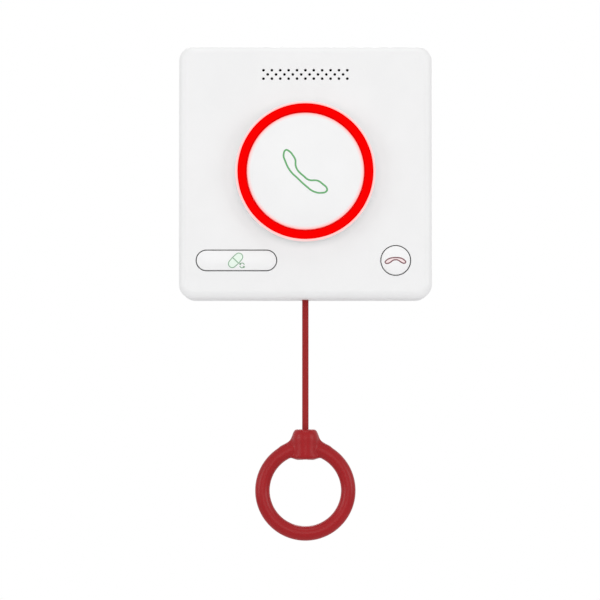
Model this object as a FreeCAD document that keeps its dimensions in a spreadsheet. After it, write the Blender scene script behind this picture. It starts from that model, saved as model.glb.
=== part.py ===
import FreeCAD, Part
import math
import os
import re
import Sketcher
from FreeCAD import Vector

# A wall-mounted medical call unit: a square case on a bracket, a round call button in a
# lit ring, an oblong and a round key, and a pull cord with a ring handle.
# X is to the right, Z is up, the wall is the plane Y = 0 and the front faces -Y, so a
# "depth" is a distance from the wall. The origin is on the wall behind the call button.
doc = FreeCAD.newDocument("call_unit")
sheet = doc.addObject("Spreadsheet::Sheet", "dims")

SIZES = [
    # case
    ("case_width", 125.0),
    ("case_height", 125.0),
    ("case_corner", 7.3),
    ("case_wall", 2.5),
    ("front_depth", 34.0),
    ("front_wall", 2.5),
    ("front_round", 2.8),
    ("case_draft", 0.8),
    ("split_depth", 8.0),
    ("rear_lift", 0.3),
    ("rear_wall", 2.0),
    ("fit_gap", 0.2),
    ("lip_high", 1.5),
    ("lip_wall", 1.1),
    ("seal_width", 1.2),
    ("seal_height", 0.6),
    # wall bracket
    ("bracket_width", 96.0),
    ("bracket_height", 96.0),
    ("bracket_corner", 6.0),
    ("bracket_thick", 2.0),
    ("bracket_gap", 0.3),
    ("wall_pitch", 60.3),
    ("wall_hole", 2.25),
    ("wall_sink", 4.2),
    ("window_width", 22.0),
    ("window_height", 14.0),
    ("window_up", 26.0),
    ("hook_across", 38.0),
    ("hook_up", 30.0),
    ("hook_width", 7.0),
    ("hook_thick", 1.8),
    ("hook_lip", 2.2),
    ("latch_width", 14.0),
    ("latch_out", 0.9),
    ("latch_root", 0.1),
    # fixings
    ("case_screw_inset", 7.2),
    ("case_screw", 1.5),
    ("case_screw_head", 2.8),
    ("case_screw_length", 13.0),
    ("head_high", 1.7),
    ("boss_wall", 2.1),
    ("thread_gap", 0.08),
    ("post_inset", 16.0),
    ("post_rise", 30.5),
    ("post_high", 31.0),
    ("board_screw", 1.2),
    ("board_screw_head", 2.4),
    ("board_screw_length", 7.0),
    # board
    ("board_inset", 12.0),
    ("board_top", 37.0),
    ("board_corner", 3.0),
    ("board_depth", 21.0),
    ("board_thick", 1.6),
    # drum, light ring and call button
    ("drum_radius", 34.7),
    ("drum_high", 6.0),
    ("drum_rim", 1.2),
    ("drum_draft", 2.0),
    ("drum_round", 0.45),
    ("ring_width", 4.15),
    ("ring_crown", 0.7),
    ("ring_flange", 2.3),
    ("ring_foot", 1.2),
    ("bore_gap", 0.15),
    ("cap_gap", 0.3),
    ("cap_wall", 1.8),
    ("cap_dome", 1.5),
    ("cap_sunk", 0.3),
    ("cap_flange", 1.1),
    ("cap_flange_high", 1.0),
    ("cap_round", 0.8),
    ("cap_boss", 7.6),
    ("cap_boss_high", 5.0),
    ("cap_pin", 3.0),
    ("cap_rib", 1.2),
    ("cap_rib_high", 3.0),
    ("cap_rib_count", 6),
    ("cap_slack", 0.2),
    ("reflector_wall", 0.9),
    ("reflector_floor", 0.8),
    ("led_count", 12),
    ("led_across", 2.6),
    ("led_along", 3.2),
    ("led_high", 1.9),
    ("spring_radius", 9.0),
    ("spring_wire", 0.9),
    ("spring_turns", 4.0),
    ("call_switch_size", 11.4),
    ("call_switch_high", 4.0),
    ("call_stem", 2.6),
    ("call_stem_out", 2.6),
    ("call_travel", 1.5),
    # keys
    ("key_lift", 5.4),
    ("medicine_inset", 28.5),
    ("medicine_width", 40.2),
    ("medicine_height", 10.7),
    ("hang_up_inset", 18.0),
    ("hang_up_radius", 7.6),
    ("key_gap", 0.5),
    ("key_proud", 0.5),
    ("key_crown", 0.6),
    ("key_round", 0.9),
    ("key_flange", 1.6),
    ("key_flange_high", 1.0),
    ("key_wall", 1.4),
    ("key_pin", 2.0),
    ("key_travel", 0.8),
    ("key_seal_width", 2.4),
    ("key_seal_high", 0.8),
    ("key_switch_size", 6.2),
    ("key_switch_high", 3.6),
    ("key_stem", 1.7),
    ("key_stem_out", 1.3),
    ("stem_gap", 0.15),
    ("switch_floor", 0.8),
    # grille, speaker and microphone
    ("grille_drop", 14.2),
    ("grille_pitch", 4.14),
    ("grille_row", 2.08),
    ("grille_hole", 0.7),
    ("speaker_across", -6.0),
    ("speaker_width", 28.0),
    ("speaker_room", 8.85),
    ("speaker_corner", 4.0),
    ("speaker_high", 4.8),
    ("speaker_rim", 1.3),
    ("magnet_high", 2.2),
    ("cone_thick", 0.5),
    ("cone_slope", 30.0),
    ("foam_thick", 1.0),
    ("collar_wall", 1.2),
    ("collar_high", 3.5),
    ("microphone_across", 16.0),
    ("microphone_radius", 3.0),
    ("microphone_high", 2.2),
    ("boot_wall", 1.2),
    ("boot_port", 0.8),
    ("boot_front", 1.5),
    # radio
    ("radio_edge", 0.5),
    ("radio_up", 8.0),
    ("radio_room", 4.85),
    ("radio_height", 16.0),
    ("radio_high", 2.4),
    ("can_corner", 0.8),
    ("aerial_up", 22.0),
    ("aerial_thick", 0.4),
    ("aerial_high", 6.0),
    ("aerial_width", 5.0),
    # batteries
    ("cell_radius", 7.1),
    ("cell_length", 49.3),
    ("cell_nub", 2.7),
    ("cell_nub_out", 1.2),
    ("cell_pitch", 15.0),
    ("cell_count", 3),
    ("cell_middle", 9.0),
    ("cell_gap", 0.3),
    ("bay_wall", 1.5),
    ("bay_roof", 1.2),
    ("bay_end", 2.25),
    ("contact_thick", 0.4),
    ("contact_wide", 9.0),
    ("rib_thick", 1.2),
    ("rib_high", 3.5),
    ("rib_across", 16.5),
    ("door_ledge", 0.8),
    ("door_flange", 1.0),
    ("door_screw_across", 20.0),
    ("door_boss_out", 2.0),
    ("door_tongue", 7.0),
    ("door_tongue_width", 9.0),
    ("door_lug_width", 6.0),
    ("door_lug_out", 0.9),
    ("door_lug_across", 18.3),
    # pull switch
    ("cord_depth", 13.5),
    ("cord_radius", 1.6),
    ("cord_length", 64.5),
    ("cord_gap", 0.1),
    ("bush_radius", 4.2),
    ("bush_flange", 1.4),
    ("bush_flange_high", 1.4),
    ("bush_mouth", 3.5),
    ("bush_lead", 1.0),
    ("throat_gap", 0.3),
    ("guide_wall", 1.9),
    ("guide_floor", 2.5),
    ("guide_high", 34.0),
    ("slider_radius", 4.6),
    ("slider_high", 14.0),
    ("slider_gap", 0.25),
    ("pull_travel", 6.0),
    ("pull_spring_radius", 3.7),
    ("pull_spring_wire", 0.7),
    ("pull_spring_length", 14.5),
    ("pull_spring_turns", 5.0),
    ("ferrule_radius", 3.0),
    ("ferrule_high", 5.0),
    ("ferrule_sink", 1.0),
    ("lug_width", 3.0),
    ("lug_out", 3.2),
    ("lug_high", 10.0),
    ("lug_start", 1.0),
    ("ramp_rise", 1.6),
    ("plunger_gap", 0.1),
    ("plunger_out", 1.4),
    ("plunger_long", 2.1),
    ("plunger_rise", 3.0),
    ("plunger_width", 2.0),
    ("plunger_thick", 1.2),
    ("pull_switch_thick", 6.0),
    ("pull_switch_high", 12.8),
    ("pull_switch_tall", 8.4),
    ("pull_switch_corner", 0.4),
    # ring handle
    ("handle_radius", 25.0),
    ("handle_tube", 3.6),
    ("handle_drop", 30.4),
    ("collar_top", 4.3),
    ("collar_mouth", 3.2),
    ("mouth_high", 2.0),
    ("collar_radius", 6.2),
    ("collar_shoulder", 2.3),
    ("collar_belly", 14.0),
    ("collar_bottom", 15.3),
    ("web_top", 3.2),
    ("web_reach", 10.5),
    ("web_sink", 0.3),
    ("web_thick", 4.0),
    ("web_bend", 5.0),
    ("knot_radius", 2.8),
    ("knot_high", 4.4),
    ("knot_pocket", 5.4),
    ("knot_gap", 0.4),
]
for row, (name, size) in enumerate(SIZES, 1):
    sheet.set(f"A{row}", name)
    sheet.set(f"B{row}", str(size))
    sheet.setAlias(f"B{row}", name)

# sizes worked out from the ones above, as sheet formulas
DERIVED = [
    ("rear_back", "bracket_thick + bracket_gap"),
    ("rear_front", "rear_back + rear_wall"),
    ("front_inside", "front_depth - front_wall"),
    ("drum_top", "front_depth + drum_high"),
    ("ring_outer", "drum_radius - drum_rim - bore_gap"),
    ("ring_inner", "ring_outer - ring_width"),
    ("ring_bottom", "front_inside - ring_foot"),
    ("flange_radius", "ring_outer + ring_flange"),
    ("cap_radius", "ring_inner - cap_gap"),
    ("cap_top", "drum_top + cap_dome - cap_sunk"),
    ("cap_shoulder", "cap_top - cap_dome"),
    ("cap_under", "cap_top - cap_wall"),
    ("cap_flange_top", "ring_bottom - fit_gap"),
    ("reflector_inner", "cap_radius + cap_flange + 2 * fit_gap"),
    ("board_front", "board_depth + board_thick"),
    ("led_circle", "(reflector_inner + flange_radius) / 2"),
    ("call_stem_top", "board_front + call_switch_high + call_stem_out"),
    ("medicine_across", "medicine_inset - case_width / 2"),
    ("hang_up_across", "case_width / 2 - hang_up_inset"),
    ("key_line", "key_lift - (flange_radius + case_height / 2) / 2"),
    ("key_top", "front_depth + key_proud"),
    ("key_seal_back", "front_inside - key_seal_high"),
    ("key_flange_top", "key_seal_back - fit_gap"),
    ("key_stem_top", "board_front + key_switch_high + key_stem_out"),
    ("grille_height", "case_height / 2 - grille_drop"),
    ("speaker_height", "case_height / 2 - flange_radius - speaker_room"),
    ("speaker_up", "(flange_radius + case_height / 2 - case_wall - fit_gap) / 2"),
    ("speaker_magnet", "speaker_height / 3"),
    ("speaker_front", "front_inside - foam_thick"),
    ("bay_inner_width", "cell_length + cell_nub_out + 2 * bay_end"),
    ("bay_inner_height", "cell_pitch * (cell_count - 1) + 2 * (cell_radius + cell_gap)"),
    ("bay_bottom", "cell_middle - bay_inner_height / 2 - bay_wall"),
    ("door_screw_up", "bay_bottom - door_tongue / 2"),
    ("bay_width", "bay_inner_width + 2 * bay_wall"),
    ("bay_height", "bay_inner_height + 2 * bay_wall"),
    ("cell_depth", "rear_front + cell_gap + cell_radius"),
    ("bay_ceiling", "cell_depth + cell_radius + cell_gap"),
    ("case_bottom", "-case_height / 2"),
    ("screw_across", "case_width / 2 - case_screw_inset"),
    ("screw_up", "case_height / 2 - case_screw_inset"),
    ("post_across", "case_width / 2 - post_inset"),
    ("post_low", "case_bottom + post_rise"),
    ("board_width", "case_width - 2 * board_inset"),
    ("board_bottom", "case_bottom + board_inset"),
    ("radio_width", "board_width / 2 - flange_radius - radio_room"),
    ("radio_across", "board_width / 2 - radio_edge - radio_width / 2"),
    ("floor_inside", "case_bottom + case_wall"),
    ("guide_bottom", "floor_inside + bush_flange_high + fit_gap"),
    ("guide_bore", "slider_radius + slider_gap"),
    ("spring_seat", "guide_bottom + guide_floor"),
    ("slider_bottom", "spring_seat + pull_spring_length"),
    ("slider_top", "slider_bottom + slider_high"),
    ("slider_bore", "cord_radius + throat_gap"),
    ("ferrule_seat", "slider_top - ferrule_high - ferrule_sink"),
    ("plunger_up", "slider_bottom + plunger_rise"),
    ("ramp_slope", "ramp_rise / lug_high"),
    ("lug_face", "slider_radius + lug_out - ramp_rise"),
    ("plunger_tip", "lug_face + (plunger_rise - lug_start) * ramp_slope + plunger_gap"),
    ("pull_switch_side", "plunger_tip + plunger_out"),
    ("plunger_depth", "cord_depth + lug_width / 6"),
    ("cord_end", "case_bottom - cord_length"),
    ("handle_middle", "cord_end - handle_drop"),
    ("knot_seat", "cord_end - collar_bottom + knot_pocket"),
    ("swivel_up", "cord_end - mouth_high"),
]
for row, (name, formula) in enumerate(DERIVED, len(SIZES) + 1):
    sheet.set(f"A{row}", name)
    sheet.set(f"B{row}", "=" + formula)
    sheet.setAlias(f"B{row}", name)
    doc.recompute()
doc.recompute()


def linked(text):
    """Turns the size names in a formula into references to the sheet."""
    return re.sub(r"[a-z]+(_[a-z]+)+", lambda word: "dims." + word.group(), text)


def value(text):
    """The number that a formula of size names gives now."""
    return float(sheet.evalExpression(linked(text)))


def new_body(name):
    """An empty body whose label names the sub-part."""
    made = doc.addObject("PartDesign::Body", name)
    made.Label = name
    made.AllowCompound = True
    return made


def sketch(made, plane="XZ_Plane", across="0", up="0", depth="0"):
    """A sketch on a plane of its own body, moved to a place given by formulas."""
    drawn = made.newObject("Sketcher::SketchObject", made.Name + "_sketch")
    face = next(o for o in made.Origin.OriginFeatures if o.Role == plane)
    drawn.AttachmentSupport = [(face, "")]
    drawn.MapMode = "FlatFace"
    offsets = {
        "XZ_Plane": {"x": across, "y": up, "z": depth},
        "XY_Plane": {"x": across, "y": f"-({depth})", "z": up},
        "YZ_Plane": {"x": f"-({depth})", "y": up, "z": across},
    }[plane]
    for side, text in offsets.items():
        drawn.setExpression("AttachmentOffset.Base." + side, linked(text))
    return drawn


def hold(drawn, rule, text):
    """One dimension of a sketch, tied to the sheet."""
    index = drawn.ConstraintCount
    drawn.addConstraint(Sketcher.Constraint(*rule, value(text)))
    drawn.setExpression(f"Constraints[{index}]", linked(text))


def circle(drawn, radius, across="0", up="0"):
    """A circle at a place measured from the sketch's own origin."""
    middle = Vector(value(across), value(up), 0)
    index = drawn.addGeometry(Part.Circle(middle, Vector(0, 0, 1), value(radius)))
    hold(drawn, ("DistanceX", -1, 1, index, 3), across)
    hold(drawn, ("DistanceY", -1, 1, index, 3), up)
    hold(drawn, ("Radius", index), radius)


def bent_line(start, end, radius, side):
    """An arc between two points, bulging to one side, and whether its ends are swapped."""
    chord = end - start
    across = Vector(-chord.y, chord.x, 0).normalize()
    reach = math.sqrt(radius ** 2 - (chord.Length / 2) ** 2)
    middle = (start + end) / 2 - across * side * reach
    begin = math.atan2(start.y - middle.y, start.x - middle.x)
    finish = math.atan2(end.y - middle.y, end.x - middle.x)
    round_line = Part.Circle(middle, Vector(0, 0, 1), radius)
    if side > 0:
        return Part.ArcOfCircle(round_line, finish, begin), True
    return Part.ArcOfCircle(round_line, begin, finish), False


def outline(drawn, points, bends={}):
    """A closed outline, each corner dimensioned from the origin; bends are arcs by side number."""
    corners = [Vector(value(across), value(up), 0) for across, up in points]
    first = drawn.GeometryCount
    count = len(corners)
    ends = []
    for i, start in enumerate(corners):
        end = corners[(i + 1) % count]
        if i in bends:
            arc, swapped = bent_line(start, end, value(bends[i][1]), bends[i][0])
            drawn.addGeometry(arc)
        else:
            drawn.addGeometry(Part.LineSegment(start, end))
            swapped = False
        ends.append((2, 1) if swapped else (1, 2))
    for i, (across, up) in enumerate(points):
        before = first + (i - 1) % count
        join = (before, ends[(i - 1) % count][1], first + i, ends[i][0])
        drawn.addConstraint(Sketcher.Constraint("Coincident", *join))
        hold(drawn, ("DistanceX", -1, 1, first + i, ends[i][0]), across)
        hold(drawn, ("DistanceY", -1, 1, first + i, ends[i][0]), up)
        if i in bends:
            hold(drawn, ("Radius", first + i), bends[i][1])


def box_outline(drawn, wide, high, across="0", up="0"):
    """A plain rectangle about a centre."""
    left, right = f"{across} - ({wide}) / 2", f"{across} + ({wide}) / 2"
    low, top = f"{up} - ({high}) / 2", f"{up} + ({high}) / 2"
    outline(drawn, [(left, low), (right, low), (right, top), (left, top)])


def rounded_outline(drawn, wide, high, corner, across="0", up="0"):
    """A rectangle with four equal round corners, about a centre."""
    width, height, bend = value(wide) / 2, value(high) / 2, value(corner)
    middle = Vector(value(across), value(up), 0)
    axis = Vector(0, 0, 1)
    first = drawn.GeometryCount
    for side in range(4):
        turn = (side - 1) * math.pi / 2
        along = width if side % 2 == 0 else height
        out = height if side % 2 == 0 else width
        straight = Vector(math.cos(turn + math.pi / 2), math.sin(turn + math.pi / 2), 0)
        outward = Vector(math.cos(turn), math.sin(turn), 0)
        start = middle + outward * out - straight * (along - bend)
        end = middle + outward * out + straight * (along - bend)
        centre = end - outward * bend
        drawn.addGeometry(Part.LineSegment(start, end))
        arc = Part.ArcOfCircle(Part.Circle(centre, axis, bend), turn, turn + math.pi / 2)
        drawn.addGeometry(arc)
    joins = [("Tangent", first + i, 2, first + (i + 1) % 8, 1) for i in range(8)]
    level = [("Horizontal", first), ("Vertical", first + 2), ("Horizontal", first + 4)]
    same = [("Equal", first + 1, first + i) for i in (3, 5, 7)]
    for rule in joins + level + [("Vertical", first + 6)] + same:
        drawn.addConstraint(Sketcher.Constraint(*rule))
    hold(drawn, ("DistanceX", -1, 1, first + 6, 1), f"{across} - ({wide}) / 2")
    hold(drawn, ("DistanceX", first + 6, 1, first + 2, 1), wide)
    hold(drawn, ("DistanceY", -1, 1, first, 1), f"{up} - ({high}) / 2")
    hold(drawn, ("DistanceY", first, 1, first + 4, 1), high)
    hold(drawn, ("Radius", first + 1), corner)


def oblong_outline(drawn, wide, high):
    """Two half circles joined by straight lines, about the sketch's origin."""
    half, bend = value(wide) / 2 - value(high) / 2, value(high) / 2
    axis = Vector(0, 0, 1)
    right = Part.Circle(Vector(half, 0, 0), axis, bend)
    left = Part.Circle(Vector(-half, 0, 0), axis, bend)
    first = drawn.GeometryCount
    drawn.addGeometry(Part.LineSegment(Vector(-half, -bend, 0), Vector(half, -bend, 0)))
    drawn.addGeometry(Part.ArcOfCircle(right, -math.pi / 2, math.pi / 2))
    drawn.addGeometry(Part.LineSegment(Vector(half, bend, 0), Vector(-half, bend, 0)))
    drawn.addGeometry(Part.ArcOfCircle(left, math.pi / 2, 3 * math.pi / 2))
    joins = [("Tangent", first + i, 2, first + (i + 1) % 4, 1) for i in range(4)]
    for rule in joins + [("Horizontal", first), ("Equal", first + 1, first + 3)]:
        drawn.addConstraint(Sketcher.Constraint(*rule))
    hold(drawn, ("DistanceX", first, 1, first, 2), f"({wide}) - ({high})")
    hold(drawn, ("DistanceX", -1, 1, first, 2), f"(({wide}) - ({high})) / 2")
    hold(drawn, ("DistanceY", -1, 1, first, 1), f"-({high}) / 2")
    hold(drawn, ("Radius", first + 1), f"({high}) / 2")


def pad(drawn, length, draft=None):
    """Material from the sketch toward the room, or upward from a level sketch."""
    made = drawn.getParentGeoFeatureGroup()
    grown = made.newObject("PartDesign::Pad", made.Name + "_pad")
    grown.Profile = drawn
    grown.setExpression("Length", linked(length))
    if draft:
        grown.setExpression("TaperAngle", linked(draft))
    made.Tip = grown
    return grown


def turn(drawn, axis="V_Axis", kind="Revolution"):
    """A full turn about an axis of the sketch: material, or a groove."""
    made = drawn.getParentGeoFeatureGroup()
    turned = made.newObject("PartDesign::" + kind, made.Name + "_turn")
    turned.Profile = drawn
    turned.ReferenceAxis = (drawn, [axis])
    turned.Angle = 360
    made.Tip = turned
    return turned


def cut(drawn, length):
    """A pocket from the sketch toward the wall, or downward from a level sketch."""
    made = drawn.getParentGeoFeatureGroup()
    doc.recompute()
    before = made.Shape.Volume
    pocket = made.newObject("PartDesign::Pocket", made.Name + "_pocket")
    pocket.Profile = drawn
    pocket.setExpression("Length", linked(length))
    made.Tip = pocket
    doc.recompute()
    if not made.Shape.Volume < before - 1e-4:
        raise RuntimeError(f"a pocket of {made.Name} removes nothing")
    return pocket


def ring_pattern(made, features, count):
    """Copies of features evenly round the body's own Y axis."""
    doc.recompute()
    spread = made.newObject("PartDesign::PolarPattern", made.Name + "_ring")
    spread.Originals = features
    centre_line = next(o for o in made.Origin.OriginFeatures if o.Role == "Y_Axis")
    spread.Axis = (centre_line, [""])
    spread.Angle = 360
    spread.setExpression("Occurrences", linked(count))
    made.Tip = spread
    doc.recompute()
    return spread


def fillet(made, radius, chosen):
    """Rounds the edges of the body that a test picks."""
    doc.recompute()
    base = made.Tip
    picked = [f"Edge{i}" for i, edge in enumerate(base.Shape.Edges, 1) if chosen(edge)]
    rounded = made.newObject("PartDesign::Fillet", made.Name + "_fillet")
    rounded.Base = (base, picked)
    rounded.setExpression("Radius", linked(radius))
    made.Tip = rounded
    doc.recompute()
    return rounded


def chamfer(made, size, chosen):
    """Bevels the edges of the body that a test picks."""
    doc.recompute()
    base = made.Tip
    picked = [f"Edge{i}" for i, edge in enumerate(base.Shape.Edges, 1) if chosen(edge)]
    bevelled = made.newObject("PartDesign::Chamfer", made.Name + "_chamfer")
    bevelled.Base = (base, picked)
    bevelled.setExpression("Size", linked(size))
    made.Tip = bevelled
    doc.recompute()
    return bevelled


def on_level(text, smallest="0", largest="case_width"):
    """A test for edges that lie at one depth and have a bounding width in a range."""
    depth, low, high = value(text), value(smallest), value(largest)

    def chosen(edge):
        box = edge.BoundBox
        flat = abs(box.YMin + depth) < 1e-4 and abs(box.YMax + depth) < 1e-4
        reach = max(abs(box.XMin), abs(box.XMax), abs(box.ZMin), abs(box.ZMax))
        return flat and low - 1e-4 <= reach <= high + 1e-4

    return chosen


def turned_toward_room(name, points, across="0", up="0", bends={}):
    """A turned piece with its axis along Y: points are (radius, depth) pairs."""
    made = new_body(name)
    drawn = sketch(made, "XY_Plane", across, up)
    outline(drawn, [(radius, f"-({depth})") for radius, depth in points], bends)
    turn(drawn)
    return made


def turned_upright(name, points, bends={}):
    """A turned piece with its axis along the cord: points are (radius, height) pairs."""
    made = new_body(name)
    drawn = sketch(made, depth="cord_depth")
    outline(drawn, points, bends)
    turn(drawn)
    return made


def corners(across, up):
    """The four places at plus and minus two distances."""
    return [(f"{a} * {across}", f"{b} * {up}") for a in (-1, 1) for b in (-1, 1)]


# Wall bracket

def wall_bracket():
    """A flat plate: sunk screw holes, windows, room for the door screw, hooks and a latch."""
    made = new_body("wall_bracket")
    plate = sketch(made)
    rounded_outline(plate, "bracket_width", "bracket_height", "bracket_corner")
    for side in (-1, 1):
        where = f"{side} * window_up"
        rounded_outline(plate, "window_width", "window_height", "bracket_corner / 2", "0", where)
    circle(plate, "board_screw_head + 2 * bracket_gap", "door_screw_across", "door_screw_up")
    pad(plate, "bracket_thick")
    hooks = sketch(made, depth="bracket_thick")
    for across, up in corners("hook_across", "hook_up"):
        box_outline(hooks, "hook_width", "hook_thick", across, f"{up} + hook_thick / 2")
    pad(hooks, "rear_front + fit_gap + hook_thick - bracket_thick")
    lips = sketch(made, depth="rear_front + fit_gap")
    for across, up in corners("hook_across", "hook_up"):
        lip_middle = f"{up} + hook_thick + hook_lip / 2"
        box_outline(lips, "hook_width", "hook_lip", across, lip_middle)
    pad(lips, "hook_thick")
    latch = sketch(made, up="-bracket_height / 2")
    outline(latch, [
        ("-latch_width / 2", "latch_root"), ("-latch_width / 2 + latch_out", "-latch_out"),
        ("latch_width / 2 - latch_out", "-latch_out"), ("latch_width / 2", "latch_root"),
    ])
    pad(latch, "bracket_thick")
    holes = sketch(made, depth="bracket_thick")
    for across, up in corners("wall_pitch / 2", "wall_pitch / 2"):
        circle(holes, "wall_hole", across, up)
    cut(holes, "bracket_thick")
    sinks = sketch(made, depth="bracket_thick")
    for across, up in corners("wall_pitch / 2", "wall_pitch / 2"):
        circle(sinks, "wall_sink", across, up)
    cut(sinks, "bracket_thick / 2")


# Rear shell

def rear_shell():
    """The back half of the case: tray, battery bay, screw seats and board posts."""
    made = new_body("rear_shell")
    tray = sketch(made, depth="rear_lift")
    rounded_outline(tray, "case_width", "case_height", "case_corner")
    pad(tray, "split_depth - rear_lift")
    inside = sketch(made, depth="split_depth")
    wide, high = "case_width - 2 * case_wall", "case_height - 2 * case_wall"
    rounded_outline(inside, wide, high, "case_corner - case_wall")
    cut(inside, "split_depth - rear_front")
    recess = sketch(made, depth="rear_back")
    wide, high = "bracket_width + 2 * bracket_gap", "bracket_height + 2 * bracket_gap"
    rounded_outline(recess, wide, high, "bracket_corner + bracket_gap")
    cut(recess, "rear_back - rear_lift")
    notch = sketch(made, up="-bracket_height / 2 - bracket_gap", depth="rear_back")
    box_outline(notch, "latch_width + 2 * fit_gap", "2 * latch_out")
    cut(notch, "rear_back - rear_lift")
    groove = sketch(made, depth="split_depth")
    seal_ring(groove, "seal_width + fit_gap")
    cut(groove, "seal_height")
    bay = sketch(made, up="cell_middle", depth="rear_back")
    box_outline(bay, "bay_width", "bay_height")
    pad(bay, "bay_ceiling + bay_roof - rear_back")
    screw_seats(made)
    board_posts(made)
    battery_room(made)
    slots = sketch(made, depth="rear_front")
    wide, high = "hook_width + 2 * fit_gap", "hook_thick + hook_lip + 2 * fit_gap"
    for across, up in corners("hook_across", "hook_up"):
        box_outline(slots, wide, high, across, f"{up} + hook_thick + fit_gap - ({high}) / 2")
    cut(slots, "rear_front - rear_back")


def seal_ring(drawn, width):
    """Two rounded outlines, inside one another, along the middle of the case rim."""
    for side in ("+", "-"):
        wide = f"case_width - case_wall {side} ({width})"
        high = f"case_height - case_wall {side} ({width})"
        corner = f"case_corner - case_wall / 2 {side} ({width}) / 2"
        rounded_outline(drawn, wide, high, corner)


def screw_seats(made):
    """Bosses and sunk holes for the four case screws, and the door screw's boss."""
    boss = sketch(made, depth="rear_back")
    circle(boss, "board_screw + boss_wall", "door_screw_across", "door_screw_up")
    pad(boss, "split_depth + door_boss_out - rear_back")
    pilot = sketch(made, depth="split_depth + door_boss_out")
    circle(pilot, "board_screw + thread_gap", "door_screw_across", "door_screw_up")
    cut(pilot, "split_depth + door_boss_out")
    holes = sketch(made, depth="rear_front")
    for across, up in corners("screw_across", "screw_up"):
        circle(holes, "case_screw + fit_gap", across, up)
    cut(holes, "rear_front")
    sinks = sketch(made, depth="rear_lift + head_high + fit_gap")
    for across, up in corners("screw_across", "screw_up"):
        circle(sinks, "case_screw_head + fit_gap", across, up)
    cut(sinks, "head_high + fit_gap")


def board_posts(made):
    """Four hollow posts that carry the circuit board."""
    places = [(f"{a} * post_across", up) for a in (-1, 1) for up in ("post_low", "post_high")]
    posts = sketch(made, depth="rear_back")
    for across, up in places:
        circle(posts, "board_screw + boss_wall", across, up)
    pad(posts, "board_depth - rear_back")
    pilots = sketch(made, depth="board_depth")
    for across, up in places:
        circle(pilots, "board_screw + thread_gap", across, up)
    cut(pilots, "board_screw_length")


def battery_room(made):
    """The bay's inside with cradle ribs, and the rebate, seat and slots for its door."""
    room = sketch(made, up="cell_middle", depth="bay_ceiling")
    box_outline(room, "bay_inner_width", "bay_inner_height")
    cut(room, "bay_ceiling")
    ribs = sketch(made, up="cell_middle", depth="bay_ceiling - rib_high")
    for side in (-1, 1):
        for way in (-1, 1):
            where = (f"{way} * rib_across", f"{side} * cell_pitch / 2")
            box_outline(ribs, "2 * rib_thick", "rib_thick", *where)
    pad(ribs, "rib_high + bay_roof / 2")
    rebate = sketch(made, up="cell_middle", depth="rear_back + door_flange")
    box_outline(rebate, "bay_inner_width + 2 * door_ledge", "bay_inner_height + 2 * door_ledge")
    cut(rebate, "door_flange")
    level = "rear_back + door_flange"
    tongue = sketch(made, across="door_screw_across", up="bay_bottom", depth=level)
    box_outline(tongue, "door_tongue_width", "2 * door_tongue")
    cut(tongue, "door_flange")
    level = "rear_front + 2 * fit_gap + door_flange"
    slots = sketch(made, up="bay_bottom + bay_height", depth=level)
    high = "2 * (bay_wall + door_lug_out + fit_gap)"
    for side in (-1, 1):
        box_outline(slots, "door_lug_width + 2 * fit_gap", high, f"{side} * door_lug_across")
    cut(slots, "door_flange + 2 * fit_gap")


# Front cover

def front_cover():
    """The front half of the case: face, raised drum, grille, key openings and bosses."""
    made = new_body("front_cover")
    block = sketch(made, depth="split_depth")
    rounded_outline(block, "case_width", "case_height", "case_corner")
    pad(block, "front_depth - split_depth", "-case_draft")
    fillet(made, "front_round", on_level("front_depth"))
    drum = sketch(made, depth="front_depth - front_wall / 2")
    circle(drum, "drum_radius")
    pad(drum, "drum_high + front_wall / 2", "-drum_draft")
    chamfer(made, "drum_round", on_level("drum_top"))
    inside = sketch(made, depth="front_inside")
    thick = "(case_wall + fit_gap)"
    wide, high = f"case_width - 2 * {thick}", f"case_height - 2 * {thick}"
    rounded_outline(inside, wide, high, f"case_corner - {thick}")
    cut(inside, "front_inside - split_depth")
    lip(made, wide, high, thick)
    bore = sketch(made, depth="drum_top")
    circle(bore, "drum_radius - drum_rim")
    cut(bore, "drum_top - front_inside")
    medicine = sketch(made, across="medicine_across", up="key_line", depth="front_depth")
    oblong_outline(medicine, "medicine_width", "medicine_height")
    cut(medicine, "front_wall")
    hang_up = sketch(made, across="hang_up_across", up="key_line", depth="front_depth")
    circle(hang_up, "hang_up_radius")
    cut(hang_up, "front_wall")
    collars(made)
    grille(made)
    pillars(made)
    mouth = sketch(made, "XY_Plane", up="floor_inside + case_wall", depth="cord_depth")
    circle(mouth, "bush_radius + cord_gap")
    cut(mouth, "3 * case_wall")


def lip(made, wide, high, thick):
    """A thin rib inside the rim that centres the cover in the rear shell."""
    for depth, spread in (("split_depth - lip_high", "0"), ("split_depth", "case_wall")):
        rib = sketch(made, depth=depth)
        outer = f"{wide} + {spread}", f"{high} + {spread}", f"case_corner - {thick} + {spread} / 2"
        inner = f"{wide} - 2 * lip_wall", f"{high} - 2 * lip_wall"
        rounded_outline(rib, *outer)
        rounded_outline(rib, *inner, f"case_corner - {thick} - lip_wall")
        pad(rib, "lip_high")
    middle = "floor_inside + fit_gap + lip_wall / 2"
    relief = sketch(made, up=middle, depth="split_depth + lip_high")
    wide = "2 * (bush_radius + bush_flange + fit_gap)"
    box_outline(relief, wide, "lip_wall + fit_gap")
    cut(relief, "2 * lip_high")


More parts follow.
